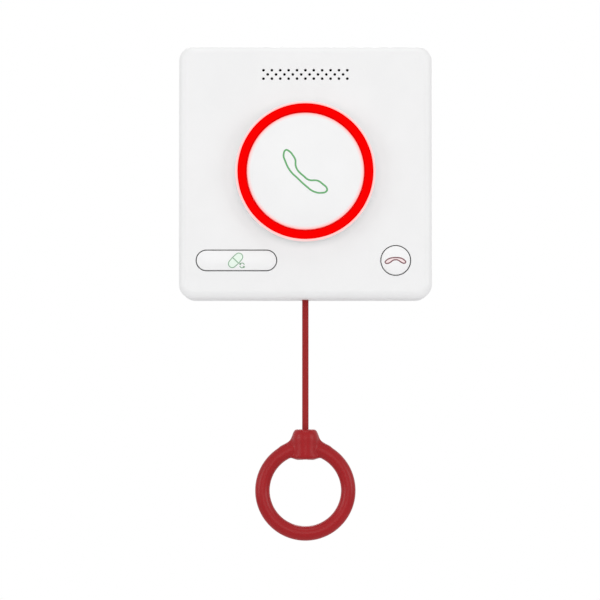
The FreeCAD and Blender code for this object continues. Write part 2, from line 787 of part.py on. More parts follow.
def collars(made):
    """Walls behind the face that seat the speaker and the microphone boot."""
    back = "speaker_front - collar_high"
    speaker = sketch(made, across="speaker_across", up="speaker_up", depth=back)
    for wall in ("collar_wall", "0"):
        grown = f"2 * (fit_gap + {wall})"
        wide, high = f"speaker_width + {grown}", f"speaker_height + {grown}"
        rounded_outline(speaker, wide, high, f"speaker_corner + fit_gap + {wall}")
    pad(speaker, "collar_high + foam_thick + front_wall / 2")
    back = "front_inside - collar_high"
    boot = sketch(made, across="microphone_across", up="grille_height", depth=back)
    circle(boot, "microphone_radius + boot_wall + fit_gap + collar_wall")
    circle(boot, "microphone_radius + boot_wall + fit_gap")
    pad(boot, "collar_high + front_wall / 2")


def grille(made):
    """Three staggered rows of round sound holes."""
    holes = sketch(made, up="grille_height", depth="front_depth")
    for line in (-1, 0, 1):
        count = 11 if line else 10
        for i in range(count):
            across = f"{i - (count - 1) / 2} * grille_pitch"
            circle(holes, "grille_hole", across, f"{line} * grille_row")
    cut(holes, "front_wall")


def pillars(made):
    """Four hollow pillars that take the case screws."""
    posts = sketch(made, depth="rear_front + fit_gap")
    for across, up in corners("screw_across", "screw_up"):
        circle(posts, "case_screw + boss_wall", across, up)
    pad(posts, "front_inside + front_wall / 4 - rear_front - fit_gap")
    pilots = sketch(made, depth="rear_front + fit_gap + case_screw_length")
    for across, up in corners("screw_across", "screw_up"):
        circle(pilots, "case_screw + thread_gap", across, up)
    cut(pilots, "case_screw_length")


def case_gasket():
    """The rubber cord in the rim groove between the two case halves."""
    made = new_body("case_gasket")
    loop = sketch(made, depth="split_depth - seal_height")
    seal_ring(loop, "seal_width")
    pad(loop, "seal_height")


# Light ring and call button

def light_ring():
    """The translucent ring in the drum, with a low crown and a flange behind the face."""
    made = turned_toward_room("light_ring", [
        ("ring_inner", "ring_bottom"), ("flange_radius", "ring_bottom"),
        ("flange_radius", "front_inside"), ("ring_outer", "front_inside"),
        ("ring_outer", "drum_top"), ("ring_inner", "drum_top"),
    ])
    chamfer(made, "ring_crown", on_level("drum_top"))


def light_reflector():
    """A white trough that carries the light from the lamps to the ring."""
    wall = "reflector_wall"
    made = turned_toward_room("light_reflector", [
        ("reflector_inner", "board_front"), ("flange_radius", "board_front"),
        ("flange_radius", "ring_bottom"), (f"flange_radius - {wall}", "ring_bottom"),
        (f"flange_radius - {wall}", "board_front + reflector_floor"),
        (f"reflector_inner + {wall}", "board_front + reflector_floor"),
        (f"reflector_inner + {wall}", "ring_bottom"), ("reflector_inner", "ring_bottom"),
    ])
    window = sketch(made, depth="board_front + reflector_floor")
    box_outline(window, "led_across + fit_gap", "led_along + 2 * fit_gap", "led_circle")
    opening = cut(window, "reflector_floor")
    ring_pattern(made, [opening], "led_count")


def ring_lamps():
    """Surface lamps on the board, evenly round the ring."""
    made = new_body("ring_lamps")
    lamp = sketch(made, depth="board_front")
    box_outline(lamp, "led_across", "led_along", "led_circle")
    block = pad(lamp, "led_high")
    ring_pattern(made, [block], "led_count")


def call_button():
    """The domed cap with its skirt, retaining flange, spring boss, pin and ribs."""
    roof = "cap_under - cap_slack"
    made = turned_toward_room("call_button", [
        ("0", "cap_top"), ("cap_radius / 3", "cap_top - cap_dome / 9"),
        ("cap_radius * 2 / 3", "cap_top - cap_dome * 4 / 9"),
        ("cap_radius - cap_round", "cap_shoulder"), ("cap_radius", "cap_shoulder - cap_round"),
        ("cap_radius", "cap_flange_top"), ("cap_radius + cap_flange", "cap_flange_top"),
        ("cap_radius + cap_flange", "cap_flange_top - cap_flange_high"),
        ("cap_radius - cap_wall", "cap_flange_top - cap_flange_high"),
        ("cap_radius - cap_wall", "cap_shoulder - cap_wall"),
        ("cap_boss", roof), ("cap_boss", "cap_under - cap_boss_high"),
        ("cap_pin", "cap_under - cap_boss_high"), ("cap_pin", "call_stem_top"),
        ("0", "call_stem_top"),
    ])
    rib = sketch(made, depth="cap_shoulder - cap_wall - cap_rib_high")
    start, end = "(spring_radius + spring_wire)", "(cap_radius - cap_wall / 2)"
    box_outline(rib, f"{end} - {start}", "cap_rib", f"({start} + {end}) / 2")
    web = pad(rib, "cap_rib_high + cap_wall / 2")
    ring_pattern(made, [web], "cap_rib_count")


def coil(name, radius, wire, length, turns, start, axis):
    """A compression spring of six-sided wire wound in short straight steps."""
    steps = 16
    count = int(round(value(turns) * steps))
    bend, rise = value(radius), (value(length) - value(wire)) / count
    points = []
    for i in range(count + 1):
        angle = 2 * math.pi * i / steps
        points.append(Vector(bend * math.cos(angle), bend * math.sin(angle), i * rise))
    path = Part.makePolygon(points)
    ahead = (points[1] - points[0]).normalize()
    side = Vector(1, 0, 0)
    over = ahead.cross(side)
    rim = []
    for i in range(7):
        angle = 2 * math.pi * i / 6
        offset = side * math.cos(angle) + over * math.sin(angle)
        rim.append(points[0] + offset * value(wire) / 2)
    wound = doc.addObject("Part::Feature", name)
    wound.Label = name
    wound.Shape = path.makePipeShell([Part.makePolygon(rim)], True, False, 1)
    wound.Placement = FreeCAD.Placement(start, FreeCAD.Rotation(Vector(0, 0, 1), axis))


def call_spring():
    """The coil that lifts the call cap, between the board and the cap's roof."""
    length = "cap_under - cap_slack - board_front - 2 * cord_gap"
    start = Vector(0, -value("board_front + cord_gap + spring_wire / 2"), 0)
    toward_room = Vector(0, -1, 0)
    coil("call_spring", "spring_radius", "spring_wire", length, "spring_turns", start, toward_room)


def switch(name, size, high, stem, across="0", up="0"):
    """A push switch's square housing with the bore for its stem."""
    made = new_body(name)
    base = sketch(made, across=across, up=up, depth="board_front")
    box_outline(base, size, size)
    pad(base, high)
    bore = sketch(made, across=across, up=up, depth=f"board_front + {high}")
    circle(bore, f"{stem} + stem_gap")
    cut(bore, f"{high} - switch_floor")


def switch_stem(name, radius, travel, top, across="0", up="0"):
    """The moving stem of a push switch, short of the housing's floor by its travel."""
    bottom = f"board_front + switch_floor + {travel} + fit_gap"
    rim = [("0", bottom), (radius, bottom), (radius, top), ("0", top)]
    turned_toward_room(name, rim, across, up)


# Keys

def medicine_button():
    """The oblong key: crowned top, hollow back, retaining flange and pressing pin."""
    made = new_body("medicine_button")
    wide, high = "(medicine_width - 2 * key_gap)", "(medicine_height - 2 * key_gap)"
    back = "key_flange_top - key_flange_high"
    flange = sketch(made, across="medicine_across", up="key_line", depth=back)
    oblong_outline(flange, f"{wide} + 2 * key_flange", f"{high} + 2 * key_flange")
    pad(flange, "key_flange_high")
    body = sketch(made, across="medicine_across", up="key_line", depth="key_flange_top")
    oblong_outline(body, wide, high)
    pad(body, "key_top + key_crown - key_flange_top")
    chamfer(made, "key_round", on_level("key_top + key_crown"))
    hollow = sketch(made, across="medicine_across", up="key_line", depth="key_top - key_wall")
    oblong_outline(hollow, f"{wide} - 2 * key_wall", f"{high} - 2 * key_wall")
    cut(hollow, "key_top")
    key_pin(made, "medicine_across")


def hang_up_button():
    """The round key, built as the oblong one."""
    made = new_body("hang_up_button")
    radius = "(hang_up_radius - key_gap)"
    back = "key_flange_top - key_flange_high"
    flange = sketch(made, across="hang_up_across", up="key_line", depth=back)
    circle(flange, f"{radius} + key_flange")
    pad(flange, "key_flange_high")
    body = sketch(made, across="hang_up_across", up="key_line", depth="key_flange_top")
    circle(body, radius)
    pad(body, "key_top + key_crown - key_flange_top")
    chamfer(made, "key_round", on_level("key_top + key_crown"))
    hollow = sketch(made, across="hang_up_across", up="key_line", depth="key_top - key_wall")
    circle(hollow, f"{radius} - key_wall")
    cut(hollow, "key_top")
    key_pin(made, "hang_up_across")


def key_pin(made, across):
    """The pin inside a key that reaches its switch."""
    pin = sketch(made, across=across, up="key_line", depth="key_stem_top")
    circle(pin, "key_pin")
    pad(pin, "key_top - key_wall / 2 - key_stem_top")


def key_seal(name, across, shape, *sizes):
    """The dark rubber ring behind a key's opening, which shows as its outline."""
    made = new_body(name)
    ring = sketch(made, across=across, up="key_line", depth="key_seal_back")
    for spread in ("2 * key_seal_width", "-2 * key_gap + 2 * fit_gap"):
        shape(ring, *[f"{size} + {spread}" for size in sizes])
    pad(ring, "key_seal_high")


def round_key_outline(drawn, across):
    """A circle given by its width."""
    circle(drawn, f"({across}) / 2")


# Speaker and microphone

def speaker_frame():
    """The speaker's basket with its magnet."""
    made = new_body("speaker_frame")
    back = "speaker_front - speaker_high"
    basket = sketch(made, across="speaker_across", up="speaker_up", depth=back)
    rounded_outline(basket, "speaker_width", "speaker_height", "speaker_corner")
    pad(basket, "speaker_high")
    dish = sketch(made, across="speaker_across", up="speaker_up", depth="speaker_front")
    wide, high = "speaker_width - 2 * speaker_rim", "speaker_height - 2 * speaker_rim"
    rounded_outline(dish, wide, high, "speaker_corner - speaker_rim")
    cut(dish, "speaker_high - speaker_rim")
    bottom = f"{back} - magnet_high"
    magnet = sketch(made, across="speaker_across", up="speaker_up", depth=bottom)
    circle(magnet, "speaker_magnet")
    pad(magnet, "magnet_high + speaker_rim + magnet_high / 2")


def speaker_cone():
    """The thin diaphragm, raised in its middle."""
    made = new_body("speaker_cone")
    level = "speaker_front - speaker_rim"
    less = "2 * speaker_rim - fit_gap"
    back = f"{level} - cone_thick"
    flat = sketch(made, across="speaker_across", up="speaker_up", depth=back)
    wide, high = f"speaker_width - {less}", f"speaker_height - {less}"
    rounded_outline(flat, wide, high, "speaker_corner - speaker_rim")
    pad(flat, "cone_thick")
    middle = sketch(made, across="speaker_across", up="speaker_up", depth=level)
    circle(middle, "speaker_magnet - speaker_rim")
    pad(middle, "cone_thick", "-cone_slope")


def speaker_gasket():
    """The foam frame between the speaker and the face."""
    made = new_body("speaker_gasket")
    foam = sketch(made, across="speaker_across", up="speaker_up", depth="speaker_front")
    rounded_outline(foam, "speaker_width", "speaker_height", "speaker_corner")
    wide, high = "speaker_width - 2 * speaker_rim", "speaker_height - 2 * speaker_rim"
    rounded_outline(foam, wide, high, "speaker_corner - speaker_rim")
    pad(foam, "foam_thick")


def microphone():
    """The round microphone capsule."""
    front = "front_inside - boot_front"
    back = f"{front} - microphone_high"
    rim = [("0", back), ("microphone_radius", back), ("microphone_radius", front), ("0", front)]
    turned_toward_room("microphone", rim, "microphone_across", "grille_height")


def microphone_boot():
    """The rubber cup that seals the capsule to the face, with a sound port."""
    inner, outer = "microphone_radius + cord_gap", "microphone_radius + boot_wall"
    seat, back = "front_inside - boot_front", "front_inside - boot_front - microphone_high"
    turned_toward_room("microphone_boot", [
        ("boot_port", seat), (inner, seat), (inner, back), (outer, back),
        (outer, "front_inside"), ("boot_port", "front_inside"),
    ], "microphone_across", "grille_height")


# Circuit board and radio

def main_board():
    """The circuit board, with its four screw holes."""
    made = new_body("main_board")
    high, middle = "board_top - board_bottom", "(board_top + board_bottom) / 2"
    plate = sketch(made, depth="board_depth")
    rounded_outline(plate, "board_width", high, "board_corner", "0", middle)
    for across in (-1, 1):
        for up in ("post_low", "post_high"):
            circle(plate, "board_screw + fit_gap", f"{across} * post_across", up)
    pad(plate, "board_thick")


def radio_module():
    """The radio's screening can, with small round corners."""
    made = new_body("radio_module")
    can = sketch(made, across="radio_across", up="radio_up", depth="board_front")
    rounded_outline(can, "radio_width", "radio_height", "can_corner")
    pad(can, "radio_high")


def radio_aerial():
    """A bent strip on two legs beside the radio."""
    made = new_body("radio_aerial")
    strip = sketch(made, "XY_Plane", across="radio_across", up="aerial_up - aerial_width / 2")
    half, thick = "radio_width / 2", "aerial_thick"
    low, top = "-board_front", "-(board_front + aerial_high)"
    outline(strip, [
        (f"-{half}", low), (f"-{half}", top), (half, top), (half, low),
        (f"{half} - {thick}", low), (f"{half} - {thick}", f"{top} + {thick}"),
        (f"-{half} + {thick}", f"{top} + {thick}"), (f"-{half} + {thick}", low),
    ])
    pad(strip, "aerial_width")


# Screws

def screws(name, radius, head, length, places, seat, toward_wall):
    """A group of like screws; the shank runs to the room or to the wall from the seat."""
    made = new_body(name)
    if toward_wall:
        shank_depth, head_depth = f"{seat} - ({length})", seat
    else:
        shank_depth, head_depth = seat, f"{seat} - head_high"
    shanks = sketch(made, depth=shank_depth)
    heads = sketch(made, depth=head_depth)
    for across, up in places:
        circle(shanks, radius, across, up)
        circle(heads, head, across, up)
    pad(shanks, length)
    pad(heads, "head_high")


# Batteries

def cell_heights():
    """The heights of the cells' axes, lowest first."""
    count = int(value("cell_count"))
    return [f"(cell_middle + {i - (count - 1) / 2} * cell_pitch)" for i in range(count)]


def battery_cell(name, up, way):
    """One cell lying along X, its nub to the right or the left."""
    made = new_body(name)
    drawn = sketch(made, up=up, depth="cell_depth")
    tail, shoulder = "-(cell_length + cell_nub_out) / 2", "(cell_length - cell_nub_out) / 2"
    rim = [(tail, "0"), (tail, "cell_radius"), (shoulder, "cell_radius"), (shoulder, "cell_nub"),
           (f"-{tail}", "cell_nub"), (f"-{tail}", "0")]
    outline(drawn, [(f"{way} * ({across})", out) for across, out in rim])
    turn(drawn, "H_Axis")


def battery_contact(name, side, plus_up, minus_up):
    """A folded strip on a bay end: a leaf for a cell's flat end, a stud for its nub."""
    made = new_body(name)
    wall, thick = "bay_inner_width / 2", "contact_thick"
    heights = [up for up in (plus_up, minus_up) if up]
    low = min(heights, key=value)
    top = max(heights, key=value)
    middle, high = f"({low} + {top}) / 2", f"{top} - {low} + contact_wide"
    strip = sketch(made, depth="cell_depth - contact_wide / 2")
    box_outline(strip, thick, high, f"{side} * ({wall} - {thick} / 2)", middle)
    pad(strip, "contact_wide")
    reach = f"{wall} - {thick} - (cell_length + cell_nub_out) / 2 - cord_gap"
    if plus_up:
        stud = sketch(made, depth="cell_depth - cell_nub")
        across = f"{side} * ({wall} - {thick} - ({reach}) / 2)"
        box_outline(stud, reach, "2 * cell_nub", across, plus_up)
        pad(stud, "2 * cell_nub")
    if minus_up:
        leaf = sketch(made, depth="cell_depth - contact_wide / 3")
        base, tip = f"{wall} - {thick}", f"{wall} - {thick} - ({reach})"
        rim = [(base, "-contact_wide / 2"), (base, "-contact_wide / 2 + contact_thick"),
               (f"{tip} + {thick}", "0"), (base, "contact_wide / 2 - contact_thick"),
               (base, "contact_wide / 2"), (tip, "contact_thick"), (tip, "-contact_thick")]
        outline(leaf, [(f"{side} * ({across})", f"{minus_up} + {up}") for across, up in rim])
        pad(leaf, "2 * contact_wide / 3")


def battery_door():
    """The bay's door: plate, stiffening step, two lugs and a screw tongue."""
    made = new_body("battery_door")
    plate = sketch(made, up="cell_middle", depth="rear_back")
    grown = "2 * door_ledge - 2 * fit_gap"
    box_outline(plate, f"bay_inner_width + {grown}", f"bay_inner_height + {grown}")
    pad(plate, "door_flange - fit_gap / 2")
    step = sketch(made, up="cell_middle", depth="rear_back")
    box_outline(step, "bay_inner_width - 2 * fit_gap", "bay_inner_height - 2 * fit_gap")
    pad(step, "rear_wall")
    tongue = sketch(made, across="door_screw_across", up="bay_bottom", depth="rear_back")
    box_outline(tongue, "door_tongue_width - 2 * fit_gap", "2 * (door_tongue - fit_gap)")
    pad(tongue, "door_flange - fit_gap / 2")
    lugs = sketch(made, up="bay_bottom + bay_height - bay_wall", depth="rear_front")
    for side in (-1, 1):
        where = f"{side} * door_lug_across"
        box_outline(lugs, "door_lug_width", "2 * (bay_wall + door_lug_out)", where)
    pad(lugs, "door_flange")
    hole = sketch(made, across="door_screw_across", up="door_screw_up", depth="rear_front")
    circle(hole, "board_screw + fit_gap")
    cut(hole, "rear_wall + door_flange")


# Pull switch

def pull_bush():
    """The flared bush that the cord leaves by, flanged inside the case floor."""
    throat = "cord_radius + throat_gap"
    top, under = "floor_inside + fit_gap + bush_flange_high", "floor_inside + fit_gap"
    lead = f"({throat} + bush_mouth) / 2 - cord_gap"
    wide = "bush_radius + bush_flange"
    turned_upright("pull_bush", [
        (throat, top), (throat, under), (lead, "case_bottom + bush_lead"),
        ("bush_mouth", "case_bottom"), ("bush_radius", "case_bottom"), ("bush_radius", under),
        (wide, under), (wide, top),
    ])


def pull_guide():
    """The block on the rear shell with the slider's bore, spring floor and arm slot."""
    made = new_body("pull_guide")
    foot = sketch(made, "XY_Plane", up="guide_bottom")
    half, top = "(guide_bore + guide_wall)", "(cord_depth + guide_bore + guide_wall)"
    outline(foot, [
        (f"-{half}", "-rear_front"), (half, "-rear_front"),
        (half, f"-{top} + guide_wall"), (f"{half} - guide_wall", f"-{top}"),
        (f"-{half} + guide_wall", f"-{top}"), (f"-{half}", f"-{top} + guide_wall"),
    ])
    pad(foot, "guide_high")
    bore = sketch(made, "XY_Plane", up="guide_bottom + guide_high", depth="cord_depth")
    circle(bore, "guide_bore")
    cut(bore, "guide_high - guide_floor")
    hole = sketch(made, "XY_Plane", up="spring_seat", depth="cord_depth")
    circle(hole, "cord_radius + 2 * throat_gap")
    cut(hole, "guide_floor")
    top = "guide_bottom + guide_high"
    slot = sketch(made, "XY_Plane", across=half, up=top, depth="cord_depth")
    box_outline(slot, "3 * guide_wall", "lug_width + 2 * fit_gap")
    cut(slot, f"{top} - slider_bottom + pull_travel")


def pull_slider():
    """The plunger on the cord, with a tapered arm that works the switch."""
    made = turned_upright("pull_slider", [
        ("slider_bore", "slider_bottom"), ("slider_radius", "slider_bottom"),
        ("slider_radius", "slider_top"), ("ferrule_radius + fit_gap", "slider_top"),
        ("ferrule_radius + fit_gap", "ferrule_seat"), ("slider_bore", "ferrule_seat"),
    ])
    arm = sketch(made, up="slider_bottom", depth="cord_depth - lug_width / 2")
    start = "(slider_bore + slider_radius) / 2"
    high = "lug_start + lug_high"
    outline(arm, [
        (start, "lug_start"), ("lug_face", "lug_start"),
        ("lug_face + ramp_rise", high), (start, high),
    ])
    pad(arm, "lug_width")


def pull_spring():
    """The coil under the slider."""
    start = Vector(0, -value("cord_depth"), value("spring_seat + cord_gap + pull_spring_wire / 2"))
    length = "pull_spring_length - 2 * cord_gap"
    sizes = ("pull_spring_radius", "pull_spring_wire", length, "pull_spring_turns")
    coil("pull_spring", *sizes, start, Vector(0, 0, 1))


def cord_ferrule():
    """The crimped sleeve on the cord's upper end."""
    inner = "cord_radius + cord_gap"
    top = "ferrule_seat + ferrule_high"
    turned_upright("cord_ferrule", [
        (inner, "ferrule_seat"), ("ferrule_radius", "ferrule_seat"),
        ("ferrule_radius", top), (inner, top),
    ])


def pull_switch():
    """The small switch beside the guide, on the back of the board."""
    made = new_body("pull_switch")
    middle, back = "pull_switch_side + pull_switch_thick / 2", "board_depth - pull_switch_tall"
    case = sketch(made, across=middle, up="plunger_up", depth=back)
    rounded_outline(case, "pull_switch_thick", "pull_switch_high", "pull_switch_corner")
    pad(case, "pull_switch_tall")
    top = "plunger_up + plunger_thick / 2 + cord_gap"
    slot = sketch(made, "XY_Plane", across="pull_switch_side", up=top, depth="plunger_depth")
    deep = "2 * (plunger_long - plunger_out + ramp_rise)"
    box_outline(slot, deep, "plunger_width + 2 * cord_gap")
    cut(slot, "plunger_thick + 2 * cord_gap")


def pull_switch_plunger():
    """The switch's moving button, which the slider's arm pushes in."""
    made = new_body("pull_switch_plunger")
    low = "plunger_up - plunger_thick / 2"
    nose = sketch(made, "XY_Plane", up=low, depth="plunger_depth")
    box_outline(nose, "plunger_long", "plunger_width", "plunger_tip + plunger_long / 2")
    pad(nose, "plunger_thick")


# Cord and ring handle

def cord_tail():
    """The cord inside the case, from its ferrule to just above the bush's mouth."""
    top, low = "ferrule_seat + ferrule_high", "case_bottom + cord_radius + cord_gap"
    turned_upright("cord_tail", [("0", low), ("cord_radius", low), ("cord_radius", top), ("0", top)])


def pull_cord():
    """The hanging stretch: straight, with a round end at each place where it swings."""
    turned_upright("pull_cord", [
        ("0", "swivel_up - cord_radius"), ("cord_radius", "swivel_up"), ("cord_radius", "case_bottom"),
        ("0", "case_bottom + cord_radius"),
    ], bends={0: (-1, "cord_radius"), 2: (-1, "cord_radius")})


def pull_ring():
    """The moulded ring handle: a round-section ring, and a turned collar for the cord."""
    made = new_body("pull_ring")
    hoop = sketch(made, "XY_Plane", up="handle_middle", depth="cord_depth")
    circle(hoop, "handle_tube", "handle_radius - handle_tube")
    turn(hoop)
    collar = sketch(made, "YZ_Plane", up="cord_end", depth="cord_depth")
    sag = "(collar_bottom - collar_belly)"
    outline(collar, [
        ("0", "0"), ("collar_top", "0"), ("collar_radius", "-collar_shoulder"),
        ("collar_radius", "-collar_belly"), ("0", "-collar_bottom"),
    ], bends={
        1: (-1, "collar_shoulder"),
        3: (-1, f"(collar_radius ^ 2 + {sag} ^ 2) / (2 * {sag})"),
    })
    turn(collar)
    collar_webs(made)
    mouth = sketch(made, "YZ_Plane", up="cord_end", depth="cord_depth")
    outline(mouth, [("0", "0"), ("0", "-mouth_high"), ("slider_bore", "-mouth_high"), ("collar_mouth", "0")])
    turn(mouth, kind="Groove")
    bore = sketch(made, "XY_Plane", up="swivel_up", depth="cord_depth")
    circle(bore, "slider_bore")
    cut(bore, "collar_bottom")
    pocket = sketch(made, "XY_Plane", up="knot_seat", depth="cord_depth")
    circle(pocket, "knot_radius + knot_gap")
    cut(pocket, "knot_pocket")


def collar_webs(made):
    """The hollow curves that lead from the collar's sides into the ring."""
    web = sketch(made, up="cord_end", depth="cord_depth - web_thick / 2")
    low = "sqrt((handle_radius - web_sink) ^ 2 - web_reach ^ 2) - handle_drop"
    outline(web, [
        ("collar_radius", "-web_top"), ("web_reach", low),
        ("-web_reach", low), ("-collar_radius", "-web_top"),
    ], {0: (-1, "web_bend"), 2: (-1, "web_bend")})
    pad(web, "web_thick")


def cord_knot():
    """The cord's end inside the collar, with its stopper knot in the pocket below."""
    low, belly = "knot_seat - cord_gap - knot_high", "knot_seat - cord_gap"
    narrow = "(cord_radius + knot_radius) / 2"
    top = "swivel_up - cord_radius - cord_gap"
    turned_upright("cord_knot", [
        ("0", low), (narrow, low), ("knot_radius", f"{low} + knot_high / 4"),
        ("knot_radius", f"{belly} - knot_high / 4"), (narrow, belly), ("cord_radius", belly),
        ("cord_radius", top), ("0", top),
    ])


def find_faults(pieces):
    """Names every failed object and every sub-part without a sound shape."""
    failed = [o.Name for o in doc.Objects if {"Invalid", "Error"} & set(o.State)]
    unsound = [o.Name for o in pieces if o.Shape.isNull() or not o.Shape.isValid() or not o.Shape.Solids]
    return failed + unsound


wall_bracket()
rear_shell()
front_cover()
case_gasket()
light_ring()
light_reflector()
ring_lamps()
call_button()
call_spring()
switch("call_switch", "call_switch_size", "call_switch_high", "call_stem")
switch_stem("call_switch_stem", "call_stem", "call_travel", "call_stem_top")
for key in ("medicine", "hang_up"):
    place = (f"{key}_across", "key_line")
    switch(f"{key}_switch", "key_switch_size", "key_switch_high", "key_stem", *place)
    switch_stem(f"{key}_switch_stem", "key_stem", "key_travel", "key_stem_top", *place)
medicine_button()
hang_up_button()
medicine_size = ("medicine_width", "medicine_height")
key_seal("medicine_seal", "medicine_across", oblong_outline, *medicine_size)
key_seal("hang_up_seal", "hang_up_across", round_key_outline, "2 * hang_up_radius")
speaker_frame()
speaker_cone()
speaker_gasket()
microphone()
microphone_boot()
main_board()
radio_module()
radio_aerial()
case_places = corners("screw_across", "screw_up")
post_places = [(f"{a} * post_across", up) for a in (-1, 1) for up in ("post_low", "post_high")]
door_place = [("door_screw_across", "door_screw_up")]
case_seat = "rear_lift + head_high + fit_gap"
case_screw = ("case_screw", "case_screw_head", "case_screw_length")
screws("case_screws", *case_screw, case_places, case_seat, False)
small_screw = ("board_screw", "board_screw_head", "board_screw_length")
screws("board_screws", *small_screw, post_places, "board_front", True)
screws("battery_door_screw", *small_screw, door_place, "rear_back", False)
heights = cell_heights()
for number, up in enumerate(heights):
    battery_cell(f"battery_cell_{number + 1}", up, 1 if number % 2 == 0 else -1)
battery_contact("battery_contact_plus", 1, heights[0], None)
battery_contact("battery_bridge_left", -1, heights[1], heights[0])
battery_contact("battery_bridge_right", 1, heights[2], heights[1])
battery_contact("battery_contact_minus", -1, None, heights[2])
battery_door()
pull_bush()
pull_guide()
pull_slider()
pull_spring()
cord_ferrule()
pull_switch()
pull_switch_plunger()
cord_tail()
pull_cord()
pull_ring()
cord_knot()

doc.recompute()
pieces = [o for o in doc.Objects if o.TypeId in ("PartDesign::Body", "Part::Feature")]
faults = find_faults(pieces)
if faults:
    raise RuntimeError("failed: " + ", ".join(faults))
os.makedirs("parts", exist_ok=True)
for piece in pieces:
    piece.Shape.exportStep(f"parts/{piece.Label}.step")
    print(piece.Label, round(piece.Shape.Volume, 1), len(piece.Shape.Solids))
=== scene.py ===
import math
import bmesh
import bpy
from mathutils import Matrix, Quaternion, Vector


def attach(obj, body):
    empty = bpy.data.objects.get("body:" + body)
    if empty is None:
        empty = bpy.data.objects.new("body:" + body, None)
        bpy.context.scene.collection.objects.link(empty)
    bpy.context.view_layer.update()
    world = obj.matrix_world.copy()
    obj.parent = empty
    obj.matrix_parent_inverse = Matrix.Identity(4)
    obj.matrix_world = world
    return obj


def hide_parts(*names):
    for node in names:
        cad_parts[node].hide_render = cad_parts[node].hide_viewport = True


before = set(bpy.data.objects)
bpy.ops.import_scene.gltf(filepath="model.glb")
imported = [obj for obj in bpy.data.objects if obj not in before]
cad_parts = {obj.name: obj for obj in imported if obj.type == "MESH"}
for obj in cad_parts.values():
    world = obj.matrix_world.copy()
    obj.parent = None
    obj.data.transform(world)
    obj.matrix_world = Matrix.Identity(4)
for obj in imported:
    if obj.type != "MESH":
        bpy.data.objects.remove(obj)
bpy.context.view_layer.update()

mm = 0.001
hair = 1e-6  # places nearer than this count as one
toRoom = Vector((0, -1, 0))
down = Vector((0, 0, -1))
cordLine = Vector((0, -0.0135, 0))  # where the cord's line crosses the level of the call button
print("frame loaded,", len(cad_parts), "nodes")


def colour(red, green, blue):
    parts = [part / 255 for part in (red, green, blue)]
    return (*[p / 12.92 if p < 0.04045 else ((p + 0.055) / 1.055) ** 2.4 for p in parts], 1)


# Nodes written as sums: a wire is one socket of a node tree

class Wire:
    def __init__(self, tree, socket=None):
        self.tree = tree
        self.socket = socket

    def node(self, kind, settings={}, sockets={}, out=0):
        made = self.tree.nodes.new("ShaderNode" + kind)
        for name, value in settings.items():
            setattr(made, name, value)
        for name, value in sockets.items():
            self.feed(made.inputs[name], value)
        if isinstance(out, tuple):
            return [Wire(self.tree, made.outputs[name]) for name in out]
        return Wire(self.tree, made.outputs[out]) if made.outputs else made

    def feed(self, socket, value):
        if isinstance(value, Wire):
            self.tree.links.new(value.socket, socket)
        else:
            socket.default_value = value

    def calc(self, operation, *values):
        return self.node("Math", {"operation": operation}, dict(enumerate(values)))

    def band(self, low, high):
        settings = {"interpolation_type": "SMOOTHSTEP", "clamp": True}
        return self.node("MapRange", settings, {"Value": self, "From Min": low, "From Max": high})

    def blend(self, first, second):
        return self.node("Mix", {"data_type": "RGBA"}, {0: self, 6: first, 7: second}, out=2)

    def __add__(self, other):
        return self.calc("ADD", self, other)

    def __radd__(self, other):
        return self.calc("ADD", other, self)

    def __sub__(self, other):
        return self.calc("SUBTRACT", self, other)

    def __rsub__(self, other):
        return self.calc("SUBTRACT", other, self)

    def __mul__(self, other):
        return self.calc("MULTIPLY", self, other)

    def __rmul__(self, other):
        return self.calc("MULTIPLY", other, self)

    def __pow__(self, other):
        return self.calc("POWER", self, other)


# Camera, at the photograph's angle: straight on and a little below

cameraPlace = {"lens": 180, "distance": 1.4776, "below": 2.0, "aim": (-0.00267, -0.034, -0.0632)}


def addCamera():
    tilt = math.radians(cameraPlace["below"])
    back = Vector((0, -math.cos(tilt), -math.sin(tilt)))
    place = Vector(cameraPlace["aim"]) + back * cameraPlace["distance"]
    bpy.ops.object.camera_add(location=place, rotation=(math.pi / 2 + tilt, 0, 0))
    camera = bpy.context.object
    camera.data.lens = cameraPlace["lens"]
    camera.data.sensor_width = 36
    bpy.context.scene.camera = camera


bpy.ops.object.select_all(action="DESELECT")
addCamera()
print("camera")

# Pull cord: from the bush in the case's floor straight down into the handle's collar

pullCordShape = {
    "radius": 0.0016,
    "pointRadius": 0.001,  # it counts in the curve's own box, so it stays small
    "length": 0.0645,
    "exit": (0, -0.0135, -0.0625),
    "points": [
        (0, -0.0135, -0.0610), (0, -0.0135, -0.0760), (0, -0.0135, -0.0960),
        (0, -0.0135, -0.1160), (0, -0.0135, -0.1304),
    ],
}


def pullCord():
    line = bpy.data.curves.new("pullCord", "CURVE")
    line.dimensions = "3D"
    spline = line.splines.new("NURBS")
    spline.points.add(len(pullCordShape["points"]) - 1)
    for point, spot in zip(spline.points, pullCordShape["points"]):
        point.co = (*spot, 1)
        point.radius = pullCordShape["pointRadius"]
    spline.order_u = 3
    spline.use_endpoint_u = True
    line.resolution_u = 8
    line.bevel_depth = pullCordShape["radius"] / pullCordShape["pointRadius"]
    line.bevel_resolution = 8
    line.use_fill_caps = True
    cord = bpy.data.objects.new("pullCord", line)
    bpy.context.collection.objects.link(cord)
    return cord


cord = pullCord()
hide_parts("pull_cord")
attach(cord, "cord")
print("cord")

# Studio: white all round, a pale floor, soft lamps

